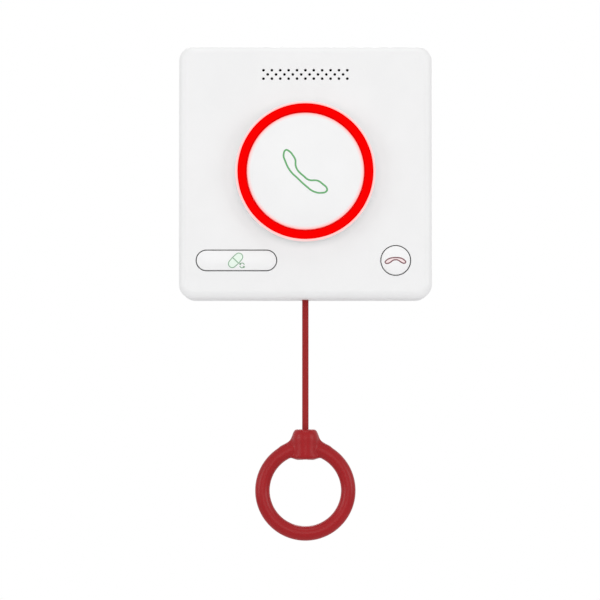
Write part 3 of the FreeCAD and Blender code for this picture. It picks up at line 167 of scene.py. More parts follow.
studio = {
    "ambient": 0.55,
    "floorHeight": -0.9,
    "floorSize": 12.0,
    "floorColour": (243, 243, 244),
    "lampsAim": (0, 0, -0.06),
    "lamps": [
        ("topLamp", (0.0, -0.55, 1.70), 1.1, 6.4),
        ("frontLamp", (0.0, -1.90, 0.10), 0.9, 3.4),
        ("leftLamp", (-1.5, -1.0, 0.15), 0.9, 6.2),
        ("rightLamp", (1.5, -1.0, 0.15), 0.9, 6.4),
        ("backLamp", (0.0, 1.60, 1.20), 0.9, 7.0),
    ],
}


def addStudio():
    world = bpy.data.worlds.new("studio")
    bpy.context.scene.world = world
    world.use_nodes = True
    world.node_tree.nodes.clear()
    wire = Wire(world.node_tree)
    rays = wire.node("LightPath", out=("Is Camera Ray", "Is Glossy Ray", "Is Transmission Ray"))
    seen = rays[0].calc("MAXIMUM", rays[0], rays[1].calc("MAXIMUM", rays[1], rays[2]))
    soft = wire.node("Background", {}, {"Color": (1, 1, 1, 1), "Strength": studio["ambient"]})
    white = wire.node("Background", {}, {"Color": (1, 1, 1, 1), "Strength": 1.0})
    mixed = wire.node("MixShader", {}, {0: seen, 1: soft, 2: white})
    wire.node("OutputWorld", {}, {"Surface": mixed})
    bpy.ops.mesh.primitive_plane_add(size=studio["floorSize"], location=(0, 0, studio["floorHeight"]))
    floor = bpy.context.object
    floor.name = "floor"
    bpy.ops.object.transform_apply(location=True, rotation=True, scale=True)
    for name, place, size, power in studio["lamps"]:
        aim = Vector(studio["lampsAim"]) - Vector(place)
        facing = aim.to_track_quat("-Z", "Y").to_euler()
        bpy.ops.object.light_add(type="AREA", location=place, rotation=facing)
        lamp = bpy.context.object
        lamp.name = name
        lamp.data.size = size
        lamp.data.energy = power
    return floor


floor = addStudio()
bpy.context.scene.view_settings.view_transform = "Standard"
print("studio")


# Finishes

def startFinish(name, fixed):
    made = bpy.data.materials.new(name)
    made.use_nodes = True
    shader = made.node_tree.nodes["Principled BSDF"]
    for socket, value in fixed.items():
        shader.inputs[socket].default_value = value
    return made, shader.inputs, Wire(made.node_tree)


plasticLooks = {
    "caseWhite": {
        "main": (245, 245, 245), "other": (243, 243, 243),
        "rough": 0.42, "grain": 2400, "relief": 0.06,
    },
    "capWhite": {
        "main": (247, 247, 247), "other": (245, 245, 245),
        "rough": 0.36, "grain": 3200, "relief": 0.05,
    },
    "keyWhite": {
        "main": (249, 249, 249), "other": (247, 247, 247),
        "rough": 0.36, "grain": 3200, "relief": 0.05,
    },
    "innerWhite": {
        "main": (246, 246, 246), "other": (240, 241, 242),
        "rough": 0.30, "grain": 1800, "relief": 0.05,
    },
    "stemWhite": {
        "main": (238, 238, 234), "other": (230, 230, 226),
        "rough": 0.34, "grain": 2200, "relief": 0.05,
    },
    "bracketWhite": {
        "main": (238, 239, 240), "other": (232, 233, 235),
        "rough": 0.50, "grain": 1500, "relief": 0.20,
    },
    "switchBlack": {
        "main": (30, 30, 32), "other": (38, 38, 40),
        "rough": 0.48, "grain": 2500, "relief": 0.12,
    },
    "speakerBlack": {
        "main": (26, 26, 28), "other": (36, 36, 38),
        "rough": 0.55, "grain": 2000, "relief": 0.15,
    },
    "handleRed": {
        "main": (166, 16, 24), "other": (160, 14, 21),
        "rough": 0.34, "grain": 1700, "relief": 0.03, "gloss": 0.28,
    },
}
cloudScale = 45.0
roughSpread = 0.12
grainDepth = 0.0002


def mouldedPlastic(name):
    look = plasticLooks[name]
    made, inputs, wire = startFinish(name, {"IOR": 1.5, "Specular IOR Level": look.get("gloss", 0.5)})
    spot = wire.node("TexCoord", out="Object")
    grain = wire.node("TexNoise", {}, {"Vector": spot, "Scale": look["grain"], "Detail": 3.0})
    cloud = wire.node("TexNoise", {}, {"Vector": spot, "Scale": cloudScale, "Detail": 2.0})
    shade = cloud.band(0.3, 0.7).blend(colour(*look["main"]), colour(*look["other"]))
    wire.feed(inputs["Base Color"], shade)
    wire.feed(inputs["Roughness"], look["rough"] + (grain - 0.5) * roughSpread)
    sockets = {"Strength": look["relief"], "Distance": grainDepth, "Height": grain}
    wire.feed(inputs["Normal"], wire.node("Bump", {}, sockets))
    return made, inputs, wire, spot, shade


# painted light: a pink base colour and a red emission near the lit ring, standing in for the ring's red light
# on the white plastic
paintedGlowLooks = {
    "coverWhite": {
        "from": "caseWhite", "near": 0.0333, "far": 0.0354,
        "paintedPink": (255, 206, 202), "glow": (178, 0, 0),
    },
    "capWhite": {
        "from": "capWhite", "near": 0.0290, "far": 0.0268,
        "paintedPink": (255, 208, 204), "glow": (110, 0, 0),
    },
}
glowBack = 0.038  # nothing behind this depth takes the painted pink and red glow
glowSoft = 0.001
drumMouth = (0.0325, 0.0328)
# painted shade: the cover's face is darkened round the drum's foot, more below it, standing in for the drum's
# soft shadow
drumFootPaintedShade = {"from": 0.0345, "to": 0.0388, "dark": 0.90, "above": 0.6, "below": 0.4, "turn": 0.03}


def plasticWithPaintedGlow(name):
    # white plastic with painted light: beside the lit ring, a pink base colour and a red emission stand in
    # for the ring's red light falling on it, though the plastic is no lamp; on the cover there is also a
    # painted shade round the drum's foot
    look = paintedGlowLooks[name]
    made, inputs, wire, spot, shade = mouldedPlastic(look["from"])
    made.name = name
    inputs["Emission Strength"].default_value = 1.0
    x, y, z = wire.node("SeparateXYZ", {}, {"Vector": spot}, out=("X", "Y", "Z"))
    radius = (x * x + z * z) ** 0.5
    low, high = sorted((look["near"], look["far"]))
    fade = radius.band(low, high)
    raised = (-1 * y).band(glowBack - glowSoft, glowBack + glowSoft)
    if look["near"] < look["far"]:
        fade = (1 - fade) * radius.band(*drumMouth)
        # painted shade round the drum's foot, stronger below, in place of the shadow the raised drum casts
        paintedShadeMask = (1 - radius.band(drumFootPaintedShade["from"], drumFootPaintedShade["to"])) * (1 - raised)
        lower = (-1 * z).band(-drumFootPaintedShade["turn"], drumFootPaintedShade["turn"])
        dark = paintedShadeMask * (drumFootPaintedShade["above"] + drumFootPaintedShade["below"] * lower)
        sockets = {0: shade, "Scale": drumFootPaintedShade["dark"]}
        shaded = wire.node("VectorMath", {"operation": "SCALE"}, sockets)
        shade = dark.blend(shade, shaded)
    # painted light: the ring's red light, given as a pink base colour and a red emission on plastic that is
    # no lamp
    paintedRingLight = fade * raised
    wire.feed(inputs["Base Color"], paintedRingLight.blend(shade, colour(*look["paintedPink"])))
    wire.feed(inputs["Emission Color"], paintedRingLight.blend((0, 0, 0, 1), colour(*look["glow"])))
    return made


ringLook = {
    "middle": (246, 2, 1), "edge": (214, 4, 4), "base": (60, 0, 0), "otherBase": (70, 2, 2),
    "inner": 0.0292, "outer": 0.03335, "soft": 0.0006,
}


def litRing():
    made, inputs, wire = startFinish("ringRed", {"Emission Strength": 1.0, "Specular IOR Level": 0.0})
    spot = wire.node("TexCoord", out="Object")
    x, y, z = wire.node("SeparateXYZ", {}, {"Vector": spot}, out=("X", "Y", "Z"))
    radius = (x * x + z * z) ** 0.5
    inner, outer = ringLook["inner"], ringLook["outer"]
    soft = ringLook["soft"]
    core = radius.band(inner, inner + soft) * (1 - radius.band(outer - soft, outer))
    grain = wire.node("TexNoise", {}, {"Vector": spot, "Scale": 900.0, "Detail": 2.0})
    glow = core.blend(colour(*ringLook["edge"]), colour(*ringLook["middle"]))
    wire.feed(inputs["Base Color"], grain.band(0.3, 0.7).blend(
        colour(*ringLook["base"]), colour(*ringLook["otherBase"])))
    wire.feed(inputs["Emission Color"], glow)
    wire.feed(inputs["Roughness"], 0.42 + grain * 0.1)
    return made


rubberLooks = {
    "sealBlack": {"main": (52, 54, 55), "other": (42, 43, 45), "grain": 1500},
    "foamBlack": {"main": (34, 34, 36), "other": (20, 20, 22), "grain": 900},
    "coneGrey": {"main": (92, 92, 96), "other": (74, 74, 78), "grain": 1300},
}


def dullSkin(name):
    look = rubberLooks[name]
    made, inputs, wire = startFinish(name, {"Specular IOR Level": 0.3})
    spot = wire.node("TexCoord", out="Object")
    cells = wire.node("TexVoronoi", {}, {"Vector": spot, "Scale": look["grain"]})
    grain = wire.node("TexNoise", {}, {"Vector": spot, "Scale": look["grain"] / 3, "Detail": 4.0})
    wire.feed(inputs["Base Color"], grain.band(0.3, 0.7).blend(colour(*look["main"]), colour(*look["other"])))
    wire.feed(inputs["Roughness"], 0.7 + grain * 0.2)
    wire.feed(inputs["Normal"], wire.node("Bump", {}, {"Strength": 0.3, "Distance": 0.0001, "Height": cells}))
    return made


metalLooks = {
    "springSteel": {"main": (176, 178, 182), "other": (150, 152, 156), "rough": 0.28},
    "screwSteel": {"main": (184, 186, 190), "other": (160, 162, 168), "rough": 0.32},
    "contactNickel": {"main": (206, 202, 192), "other": (184, 180, 170), "rough": 0.25},
    "ferruleBrass": {"main": (196, 166, 104), "other": (176, 146, 88), "rough": 0.30},
    "canTin": {"main": (200, 201, 203), "other": (180, 181, 184), "rough": 0.35},
    "capsuleSteel": {"main": (190, 191, 194), "other": (166, 168, 172), "rough": 0.30},
}


def drawnMetal(name):
    look = metalLooks[name]
    made, inputs, wire = startFinish(name, {"Metallic": 1.0})
    spot = wire.node("TexCoord", out="Object")
    drawn = wire.node("Mapping", {}, {"Vector": spot, "Scale": (1, 1, 9)})
    streak = wire.node("TexNoise", {}, {"Vector": drawn, "Scale": 700.0, "Detail": 3.0})
    shade = streak.band(0.3, 0.7).blend(colour(*look["main"]), colour(*look["other"]))
    wire.feed(inputs["Base Color"], shade)
    wire.feed(inputs["Roughness"], look["rough"] + (streak - 0.5) * 0.2)
    sockets = {"Strength": 0.08, "Distance": 0.0001, "Height": streak}
    wire.feed(inputs["Normal"], wire.node("Bump", {}, sockets))
    return made


cordLook = {"light": (161, 36, 36), "dark": (147, 30, 31), "turns": 8.0, "lay": 5200.0, "rough": 0.42}


def cordRed():
    made, inputs, wire = startFinish("cordRed", {"Specular IOR Level": 0.15})
    spot = wire.node("TexCoord", out="Object")
    x, y, z = wire.node("SeparateXYZ", {}, {"Vector": spot}, out=("X", "Y", "Z"))
    angle = wire.calc("ARCTAN2", x, y - cordLine.y)
    left = wire.calc("SINE", angle * cordLook["turns"] + z * cordLook["lay"])
    right = wire.calc("SINE", angle * cordLook["turns"] - z * cordLook["lay"])
    weave = wire.calc("MAXIMUM", left, right) * 0.5 + 0.5
    fuzz = wire.node("TexNoise", {}, {"Vector": spot, "Scale": 3000.0, "Detail": 2.0})
    shade = (weave * 0.7 + fuzz * 0.3).band(0.1, 0.9)
    wire.feed(inputs["Base Color"], shade.blend(colour(*cordLook["dark"]), colour(*cordLook["light"])))
    wire.feed(inputs["Roughness"], cordLook["rough"] + fuzz * 0.15)
    sockets = {"Strength": 0.10, "Distance": 0.0002, "Height": weave * 0.8 + fuzz * 0.2}
    wire.feed(inputs["Normal"], wire.node("Bump", {}, sockets))
    return made


inkLooks = {
    "inkGreen": (88, 168, 98),
    "inkSage": (134, 176, 142),
    "inkPaleGreen": (238, 253, 240),
    "inkRed": (120, 66, 74),
    "inkPink": (252, 232, 232),
}


def printedInk(name):
    made, inputs, wire = startFinish(name, {"Specular IOR Level": 0.4})
    spot = wire.node("TexCoord", out="Object")
    grain = wire.node("TexNoise", {}, {"Vector": spot, "Scale": 2500.0, "Detail": 3.0})
    main = colour(*inkLooks[name])
    thin = (*[1 - (1 - part) * 0.92 for part in main[:3]], 1)
    wire.feed(inputs["Base Color"], grain.band(0.35, 0.65).blend(main, thin))
    wire.feed(inputs["Roughness"], 0.4 + grain * 0.15)
    return made


boardLook = {
    "mask": (16, 84, 48), "otherMask": (20, 94, 54), "track": (52, 132, 78),
    "tracks": {"Scale": 130.0, "Mortar Size": 0.03, "Brick Width": 0.9, "Row Height": 0.22},
}


def boardGreen():
    made, inputs, wire = startFinish("boardGreen", {"IOR": 1.55})
    spot = wire.node("TexCoord", out="Object")
    flat = wire.node("Mapping", {}, {"Vector": spot, "Rotation": (math.pi / 2, 0, 0)})
    tracks = wire.node("TexBrick", {}, {"Vector": flat, **boardLook["tracks"]}, out="Fac")
    grain = wire.node("TexNoise", {}, {"Vector": spot, "Scale": 1200.0, "Detail": 3.0})
    mask = grain.band(0.2, 0.8).blend(colour(*boardLook["mask"]), colour(*boardLook["otherMask"]))
    wire.feed(inputs["Base Color"], tracks.blend(mask, colour(*boardLook["track"])))
    wire.feed(inputs["Roughness"], 0.28 + grain * 0.12)
    sockets = {"Strength": 0.2, "Distance": 0.0001, "Height": tracks}
    wire.feed(inputs["Normal"], wire.node("Bump", {}, sockets))
    return made


cellLook = {
    "wrap": (48, 52, 58), "end": (178, 136, 84), "tip": (190, 190, 192),
    "endFrom": (0.0180, 0.0181), "tipFrom": (0.0236, 0.0237),
}


def cellWrap():
    made, inputs, wire = startFinish("cellWrap", {"IOR": 1.5})
    spot = wire.node("TexCoord", out="Object")
    x, y, z = wire.node("SeparateXYZ", {}, {"Vector": spot}, out=("X", "Y", "Z"))
    ends = wire.calc("ABSOLUTE", x).band(*cellLook["endFrom"])
    tips = wire.calc("ABSOLUTE", x).band(*cellLook["tipFrom"])
    film = wire.node("TexNoise", {}, {"Vector": spot, "Scale": 260.0, "Detail": 2.0})
    body = ends.blend(colour(*cellLook["wrap"]), colour(*cellLook["end"]))
    wire.feed(inputs["Base Color"], tips.blend(body, colour(*cellLook["tip"])))
    wire.feed(inputs["Metallic"], ends * 0.6 + tips * 0.4)
    wire.feed(inputs["Roughness"], 0.25 + film * 0.15)
    return made


lampLook = {"body": (240, 240, 238), "lens": (250, 226, 150), "lensFrom": (0.0238, 0.0242)}


def lampGlass():
    made, inputs, wire = startFinish("lampGlass", {"IOR": 1.5})
    spot = wire.node("TexCoord", out="Object")
    y = wire.node("SeparateXYZ", {}, {"Vector": spot}, out=("Y",))[0]
    lens = (-1 * y).band(*lampLook["lensFrom"])
    grain = wire.node("TexNoise", {}, {"Vector": spot, "Scale": 1500.0})
    wire.feed(inputs["Base Color"], lens.blend(colour(*lampLook["body"]), colour(*lampLook["lens"])))
    wire.feed(inputs["Roughness"], 0.2 + grain * 0.1)
    return made


clothLook = {"gap": (4, 4, 4), "thread": (22, 22, 23), "lay": 18000}


def clothBlack():
    made, inputs, wire = startFinish("clothBlack", {"Specular IOR Level": 0.2})
    spot = wire.node("TexCoord", out="Object")
    x, y, z = wire.node("SeparateXYZ", {}, {"Vector": spot}, out=("X", "Y", "Z"))
    threads = wire.calc("SINE", x * clothLook["lay"]) * wire.calc("SINE", z * clothLook["lay"])
    shade = threads.band(-1, 1).blend(colour(*clothLook["gap"]), colour(*clothLook["thread"]))
    wire.feed(inputs["Base Color"], shade)
    wire.feed(inputs["Roughness"], 0.85 + threads * 0.05)
    sockets = {"Strength": 0.4, "Distance": 0.0001, "Height": threads}
    wire.feed(inputs["Normal"], wire.node("Bump", {}, sockets))
    return made


def paleFloor():
    made, inputs, wire = startFinish("paleFloor", {"Specular IOR Level": 0.2})
    spot = wire.node("TexCoord", out="Object")
    grain = wire.node("TexNoise", {}, {"Vector": spot, "Scale": 6.0, "Detail": 3.0})
    shade = colour(*studio["floorColour"])
    lighter = (*[min(1, part * 1.02) for part in shade[:3]], 1)
    wire.feed(inputs["Base Color"], grain.band(0.3, 0.7).blend(shade, lighter))
    wire.feed(inputs["Roughness"], 0.75 + grain * 0.1)
    return made


finishes = {name: mouldedPlastic(name)[0] for name in plasticLooks if name != "capWhite"}
finishes.update({name: plasticWithPaintedGlow(name) for name in paintedGlowLooks})
finishes.update({name: dullSkin(name) for name in rubberLooks})
finishes.update({name: drawnMetal(name) for name in metalLooks})
finishes.update({name: printedInk(name) for name in inkLooks})
for make in (litRing, cordRed, boardGreen, cellWrap, lampGlass, clothBlack, paleFloor):
    made = make()
    finishes[made.name] = made
cord.data.materials.append(finishes["cordRed"])
floor.data.materials.append(finishes["paleFloor"])
print("finishes,", len(finishes))


# Hand tools

def letGo():
    if bpy.context.object and bpy.context.object.mode == "EDIT":
        bpy.ops.object.mode_set(mode="OBJECT")
    bpy.ops.object.select_all(action="DESELECT")


def takeHold(*parts):
    letGo()
    for part in parts:
        part.select_set(True)
    bpy.context.view_layer.objects.active = parts[0]


def editAll(piece):
    takeHold(piece)
    bpy.ops.object.mode_set(mode="EDIT")
    bpy.ops.mesh.select_all(action="SELECT")


def pickVertices(piece, wanted):
    bpy.ops.mesh.select_all(action="DESELECT")
    mesh = bmesh.from_edit_mesh(piece.data)
    for vertex in mesh.verts:
        vertex.select_set(wanted(piece.matrix_world @ vertex.co))
    mesh.select_flush_mode()
    bmesh.update_edit_mesh(piece.data)


def useModifier(piece, kind, **settings):
    takeHold(piece)
    bpy.ops.object.modifier_add(type=kind)
    added = piece.modifiers[-1]
    for name, value in settings.items():
        setattr(added, name, value)
    bpy.ops.object.modifier_apply(modifier=added.name)


def smoothTurns(piece, degrees=32):
    takeHold(piece)
    bpy.ops.object.shade_smooth_by_angle(angle=math.radians(degrees))


def settle(piece, finish, body, slot, *nodes):
    piece.data.materials.clear()
    piece.data.materials.append(finishes[finish])
    if nodes:
        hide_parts(*nodes)
    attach(piece, body)


def arc(radius, along, size, start, end, steps):
    turns = [math.radians(start + (end - start) * i / steps) for i in range(steps + 1)]
    return [(radius + size * math.cos(turn), along + size * math.sin(turn)) for turn in turns]


def turnPiece(name, rings, foot, way, sides, hollow=False):
    # a turned form: one circle, extruded and widened ring by ring; sizes are in mm
    letGo()
    foot = Vector(foot)
    facing = Vector((0, 0, 1)).rotation_difference(way) @ Quaternion((0, 0, 1), math.pi / sides)
    radius, along = rings[0]
    bpy.ops.mesh.primitive_circle_add(vertices=sides, radius=radius * mm,
                                      location=foot + way * along * mm, rotation=facing.to_euler())
    piece = bpy.context.object
    piece.name = name
    bpy.ops.object.mode_set(mode="EDIT")
    bpy.ops.mesh.select_all(action="SELECT")
    for wider, further in rings[1:]:
        step = way * (further - along) * mm
        bpy.ops.mesh.extrude_region_move(TRANSFORM_OT_translate={"value": step})
        grow = wider / radius
        bpy.ops.transform.resize(value=(grow, grow, grow), center_override=foot + way * further * mm)
        radius, along = wider, further
    if not hollow:
        bpy.ops.mesh.edge_face_add()
        firstRadius, firstAlong = rings[0]

        def onFirstRing(spot):
            reach = spot - foot
            height = reach.dot(way)
            out = (reach - way * height).length
            return abs(height - firstAlong * mm) < hair and abs(out - firstRadius * mm) < hair

        pickVertices(piece, onFirstRing)
        bpy.ops.mesh.edge_face_add()
    bpy.ops.mesh.select_all(action="SELECT")
    bpy.ops.mesh.remove_doubles(threshold=hair)
    bpy.ops.mesh.normals_make_consistent(inside=False)
    bpy.ops.object.mode_set(mode="OBJECT")
    bpy.ops.object.transform_apply(location=True, rotation=True, scale=True)
    return piece


def smoothTwin(node):
    # the CAD form with its triangles joined, so that its rounded edges shade smoothly
    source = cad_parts[node]
    twin = bpy.data.objects.new(node + "Smooth", source.data.copy())
    bpy.context.collection.objects.link(twin)
    editAll(twin)
    bpy.ops.mesh.customdata_custom_splitnormals_clear()
    bpy.ops.mesh.remove_doubles(threshold=hair)
    bpy.ops.mesh.dissolve_limited(angle_limit=math.radians(0.5))
    smoothTurns(twin)
    useModifier(twin, "WEIGHTED_NORMAL", keep_sharp=True)
    return twin


# Case

keyShapes = {
    "medicineKey": {
        "centre": (-34.0, -43.675), "radius": 4.85, "stretch": 14.75,
        "body": "medicine_key", "node": "medicine_button",
    },
    "hangUpKey": {
        "centre": (44.5, -43.675), "radius": 7.1, "stretch": 0,
        "body": "hang_up_key", "node": "hang_up_button",
    },
}


def joinForms(base, tool, operation):
    useModifier(base, "BOOLEAN", object=tool, operation=operation, solver="EXACT")
    bpy.data.objects.remove(tool)


frontCoverShape = {
    "half": 62.5, "corner": 7.3, "back": 8.0, "face": 34.0, "edge": 4.0, "wall": 2.0, "inside": 31.49,
    "drum": 34.7, "drumTop": 40.0, "drumFoot": 0.3, "rim": 0.5, "lean": 0.22,
    "bore": 33.45, "boreEdge": 0.1,
    "core": (61.0, -1.0, 32.0),
    "soundHole": 0.7, "soundHeight": 48.3, "soundPitch": 4.14, "soundRow": 2.08,
    "bushHole": 4.4, "keyGap": 0.5,
    "sides": 160, "keySides": 96, "holeSides": 24, "bushSides": 64,
    "cutBehind": 0.2, "cutBeyond": 1, "bushReach": 4,
}


def coverSkin():
    # turned as one ring profile, then its small rings are pulled apart into a rounded square
    shape = frontCoverShape
    corner, face, edge = shape["corner"], shape["face"], shape["edge"]
    drum, foot, rim, top = shape["drum"], shape["drumFoot"], shape["rim"], shape["drumTop"]
    inner = corner - shape["wall"]
    lip = drum - shape["lean"]
    rings = [(inner, shape["back"]), (corner, shape["back"])]
    rings += arc(corner - edge, face - edge, edge, 0, 90, 12)
    rings += [(drum + foot, face), (drum + 0.3 * foot, face + 0.3 * foot), (drum, face + foot)]
    rings += arc(lip - rim, top - rim, rim, 0, 90, 5)
    bore, bevel, inside = shape["bore"], shape["boreEdge"], shape["inside"]
    rings += [(bore + bevel, top), (bore, top - bevel), (bore, inside), (inner, inside),
              (inner, shape["back"])]
    skin = turnPiece("frontCover", rings, (0, 0, 0), toRoom, shape["sides"], hollow=True)
    editAll(skin)
    pull = (shape["half"] - corner) * mm
    smallRing = 0.01  # the case's rings lie inside this radius, the drum's outside
    for across in (-1, 1):
        for up in (-1, 1):
            pickVertices(skin, lambda spot: spot.x * across > 0 and spot.z * up > 0
                         and math.hypot(spot.x, spot.z) < smallRing)
            bpy.ops.transform.translate(value=(across * pull, 0, up * pull))
    return skin


def coverCore():
    # the posts, collars and lip of the CAD form, without its outer skin
    core = smoothTwin("front_cover")
    half, back, front = frontCoverShape["core"]
    letGo()
    middle = Vector((0, -(back + front) / 2, 0)) * mm
    bpy.ops.mesh.primitive_cube_add(size=2 * half * mm, location=middle)
    block = bpy.context.object
    editAll(block)
    bpy.ops.transform.resize(value=(1, (front - back) / (2 * half), 1), center_override=middle)
    letGo()
    joinForms(core, block, "INTERSECT")
    return core


def coverCutters():
    shape = frontCoverShape
    tools = []
    through = (shape["inside"] - shape["cutBehind"], shape["face"] + shape["cutBeyond"])
    for name, key in keyShapes.items():
        radius = key["radius"] + shape["keyGap"]
        foot = (key["centre"][0] * mm, 0, key["centre"][1] * mm)
        rings = [(radius, level) for level in through]
        tool = turnPiece(name + "Opening", rings, foot, toRoom, shape["keySides"])
        stretch(tool, foot, key["stretch"])
        tools.append(tool)
    rings = [(shape["soundHole"], level) for level in through]
    for row in (-1, 0, 1):
        count = 11 if row else 10
        for i in range(count):
            across = (i - (count - 1) / 2) * shape["soundPitch"]
            foot = Vector((across, 0, shape["soundHeight"] + row * shape["soundRow"])) * mm
            tools.append(turnPiece("soundHole", rings, foot, toRoom, shape["holeSides"]))
    bush = Vector((0, cordLine.y, -shape["half"] * mm))
    rings = [(shape["bushHole"], level) for level in (-shape["bushReach"], shape["bushReach"])]
    tools.append(turnPiece("bushHole", rings, bush, down, shape["bushSides"]))
    takeHold(*tools)
    bpy.ops.object.join()
    return bpy.context.object


def stretch(piece, foot, amount):
    # a round form made oblong: its two halves are moved apart
    if not amount:
        return
    editAll(piece)
    for side in (-1, 1):
        pickVertices(piece, lambda spot: (spot.x - foot[0]) * side > 0)
        bpy.ops.transform.translate(value=(side * amount * mm, 0, 0))
    letGo()


def frontCover():
    cover = coverSkin()
    joinForms(cover, coverCore(), "UNION")
    joinForms(cover, coverCutters(), "DIFFERENCE")
    editAll(cover)
    bpy.ops.mesh.remove_doubles(threshold=2 * hair)
    bpy.ops.mesh.normals_make_consistent(inside=False)
    smoothTurns(cover)
    useModifier(cover, "WEIGHTED_NORMAL", keep_sharp=True)
    return cover


twins = {
    "rear_shell": ("caseWhite", "case_white"),
    "wall_bracket": ("bracketWhite", "bracket_white"),
    "pull_bush": ("innerWhite", "inner_white"),
}
for node, (finish, slot) in twins.items():
    settle(smoothTwin(node), finish, "case", slot, node)
settle(frontCover(), "coverWhite", "case", "case_white", "front_cover")
print("case")

# Sound cloth: a black weave stretched behind the sound holes

soundClothShape = {"height": 48.3, "wide": 46.0, "high": 9.0, "corner": 2.0, "front": 31.62, "thick": 0.1}


def soundCloth():
    shape = soundClothShape
    letGo()
    place = Vector((0, -shape["front"], shape["height"])) * mm
    bpy.ops.mesh.primitive_plane_add(size=mm, location=place, rotation=(math.pi / 2, 0, 0))
    piece = bpy.context.object
    piece.name = "soundCloth"
    editAll(piece)
    bpy.ops.transform.resize(value=(shape["wide"], 1, shape["high"]), center_override=place)
    bpy.ops.mesh.bevel(offset=shape["corner"] * mm, segments=5, affect="VERTICES")
    bpy.ops.mesh.extrude_region_move(TRANSFORM_OT_translate={"value": (0, shape["thick"] * mm, 0)})
    bpy.ops.mesh.select_all(action="SELECT")
    bpy.ops.mesh.normals_make_consistent(inside=False)
    bpy.ops.object.mode_set(mode="OBJECT")
    bpy.ops.object.transform_apply(location=True, rotation=True, scale=True)
    return piece


settle(soundCloth(), "clothBlack", "case", "foam_black")
print("sound cloth")

# Light ring

lightRingShape = {
    "inner": 29.2, "outer": 33.35, "back": 30.3, "top": 40.0, "crown": 0.7,
    "flange": 35.65, "flangeTop": 31.5, "sides": 160,
}


def lightRing():
    shape = lightRingShape
    crown = shape["crown"]
    level = shape["top"] - crown
    rings = [(shape["inner"], shape["back"]), (shape["flange"], shape["back"]),
             (shape["flange"], shape["flangeTop"]), (shape["outer"], shape["flangeTop"])]
    rings += arc(shape["outer"] - crown, level, crown, 0, 90, 5)
    rings += arc(shape["inner"] + crown, level, crown, 90, 180, 5)
    rings.append(rings[0])
    piece = turnPiece("lightRing", rings, (0, 0, 0), toRoom, shape["sides"], hollow=True)
    smoothTurns(piece)
    return piece


settle(lightRing(), "ringRed", "case", "ring_red", "light_ring")
print("light ring")

# Call cap

callCapShape = {
    "radius": 28.9, "edge": 0.8, "shoulder": 39.7, "top": 41.2, "wall": 1.8,
    "flange": 30.0, "flangeTop": 30.1, "flangeHigh": 1.0,
    "boss": 7.6, "bossBack": 34.4, "pin": 3.0, "pinBack": 29.2, "roof": 39.2,
    "dome": (0.93, 0.85, 0.75, 0.64, 0.52, 0.40, 0.28, 0.16, 0.05), "sides": 144,
}


def callCap():
    shape = callCapShape
    radius, edge = shape["radius"], shape["edge"]
    inside = radius - shape["wall"]
    flangeBack = shape["flangeTop"] - shape["flangeHigh"]
    rings = [(shape["pin"], shape["pinBack"]), (shape["pin"], shape["bossBack"]),
             (shape["boss"], shape["bossBack"]), (shape["boss"], shape["roof"]),
             (inside, shape["shoulder"] - shape["wall"]), (inside, flangeBack),
             (shape["flange"], flangeBack), (shape["flange"], shape["flangeTop"]),
             (radius, shape["flangeTop"])]
    rings += arc(radius - edge, shape["shoulder"] - edge, edge, 0, 84, 6)
    flat = radius - edge
    rise = shape["top"] - shape["shoulder"]
    for share in shape["dome"]:
        rings.append((flat * share, shape["top"] - rise * share ** 2))
    piece = turnPiece("callCap", rings, (0, 0, 0), toRoom, shape["sides"])
    smoothTurns(piece)
    return piece


cap = callCap()
settle(cap, "capWhite", "call_cap", "cap_white", "call_button")
print("call cap")

# Keys

keyLevels = {
    "flangeOut": 1.6, "flangeBack": 29.5, "flangeTop": 30.5, "top": 35.1, "edge": 0.6, "wall": 1.4,
    "roof": 33.1, "roofMiddle": 0.4, "crown": 0.55, "dome": (0.85, 0.66, 0.46, 0.26, 0.08), "sides": 96,
    "pin": 2.0, "pinBack": 27.5, "pinEdge": 0.3, "pinInRoof": 0.3, "pinSides": 32,
}


def oneKey(name, shape):
    levels = keyLevels
    radius, edge, top = shape["radius"], levels["edge"], levels["top"] - levels["crown"]
    inside = radius - levels["wall"]
    foot = (shape["centre"][0] * mm, 0, shape["centre"][1] * mm)
    flange = radius + levels["flangeOut"]
    rings = [(levels["roofMiddle"], levels["roof"]), (inside, levels["roof"]),
             (inside, levels["flangeBack"]), (flange, levels["flangeBack"]),
             (flange, levels["flangeTop"]), (radius, levels["flangeTop"])]
    rings += arc(radius - edge, top - edge, edge, 0, 80, 6)
    flat = radius - edge
    for share in levels["dome"]:
        rings.append((flat * share, top + levels["crown"] * (1 - share ** 2)))
    piece = turnPiece(name, rings, foot, toRoom, levels["sides"])
    stretch(piece, foot, shape["stretch"])
    thin, bevel = levels["pin"], levels["pinEdge"]
    pinRings = [(thin - bevel, levels["pinBack"]), (thin, levels["pinBack"] + bevel),
                (thin, levels["roof"] + levels["pinInRoof"])]
    pin = turnPiece(name + "Pin", pinRings, foot, toRoom, levels["pinSides"])
    takeHold(piece, pin)
    bpy.ops.object.join()
    smoothTurns(piece)
    return piece


keys = {}
for name, shape in keyShapes.items():
    keys[name] = oneKey(name, shape)
    settle(keys[name], "keyWhite", shape["body"], "key_white", shape["node"])
print("keys")

# Printed signs: an outline drawn as a closed line, given its width, laid on the button and thickened

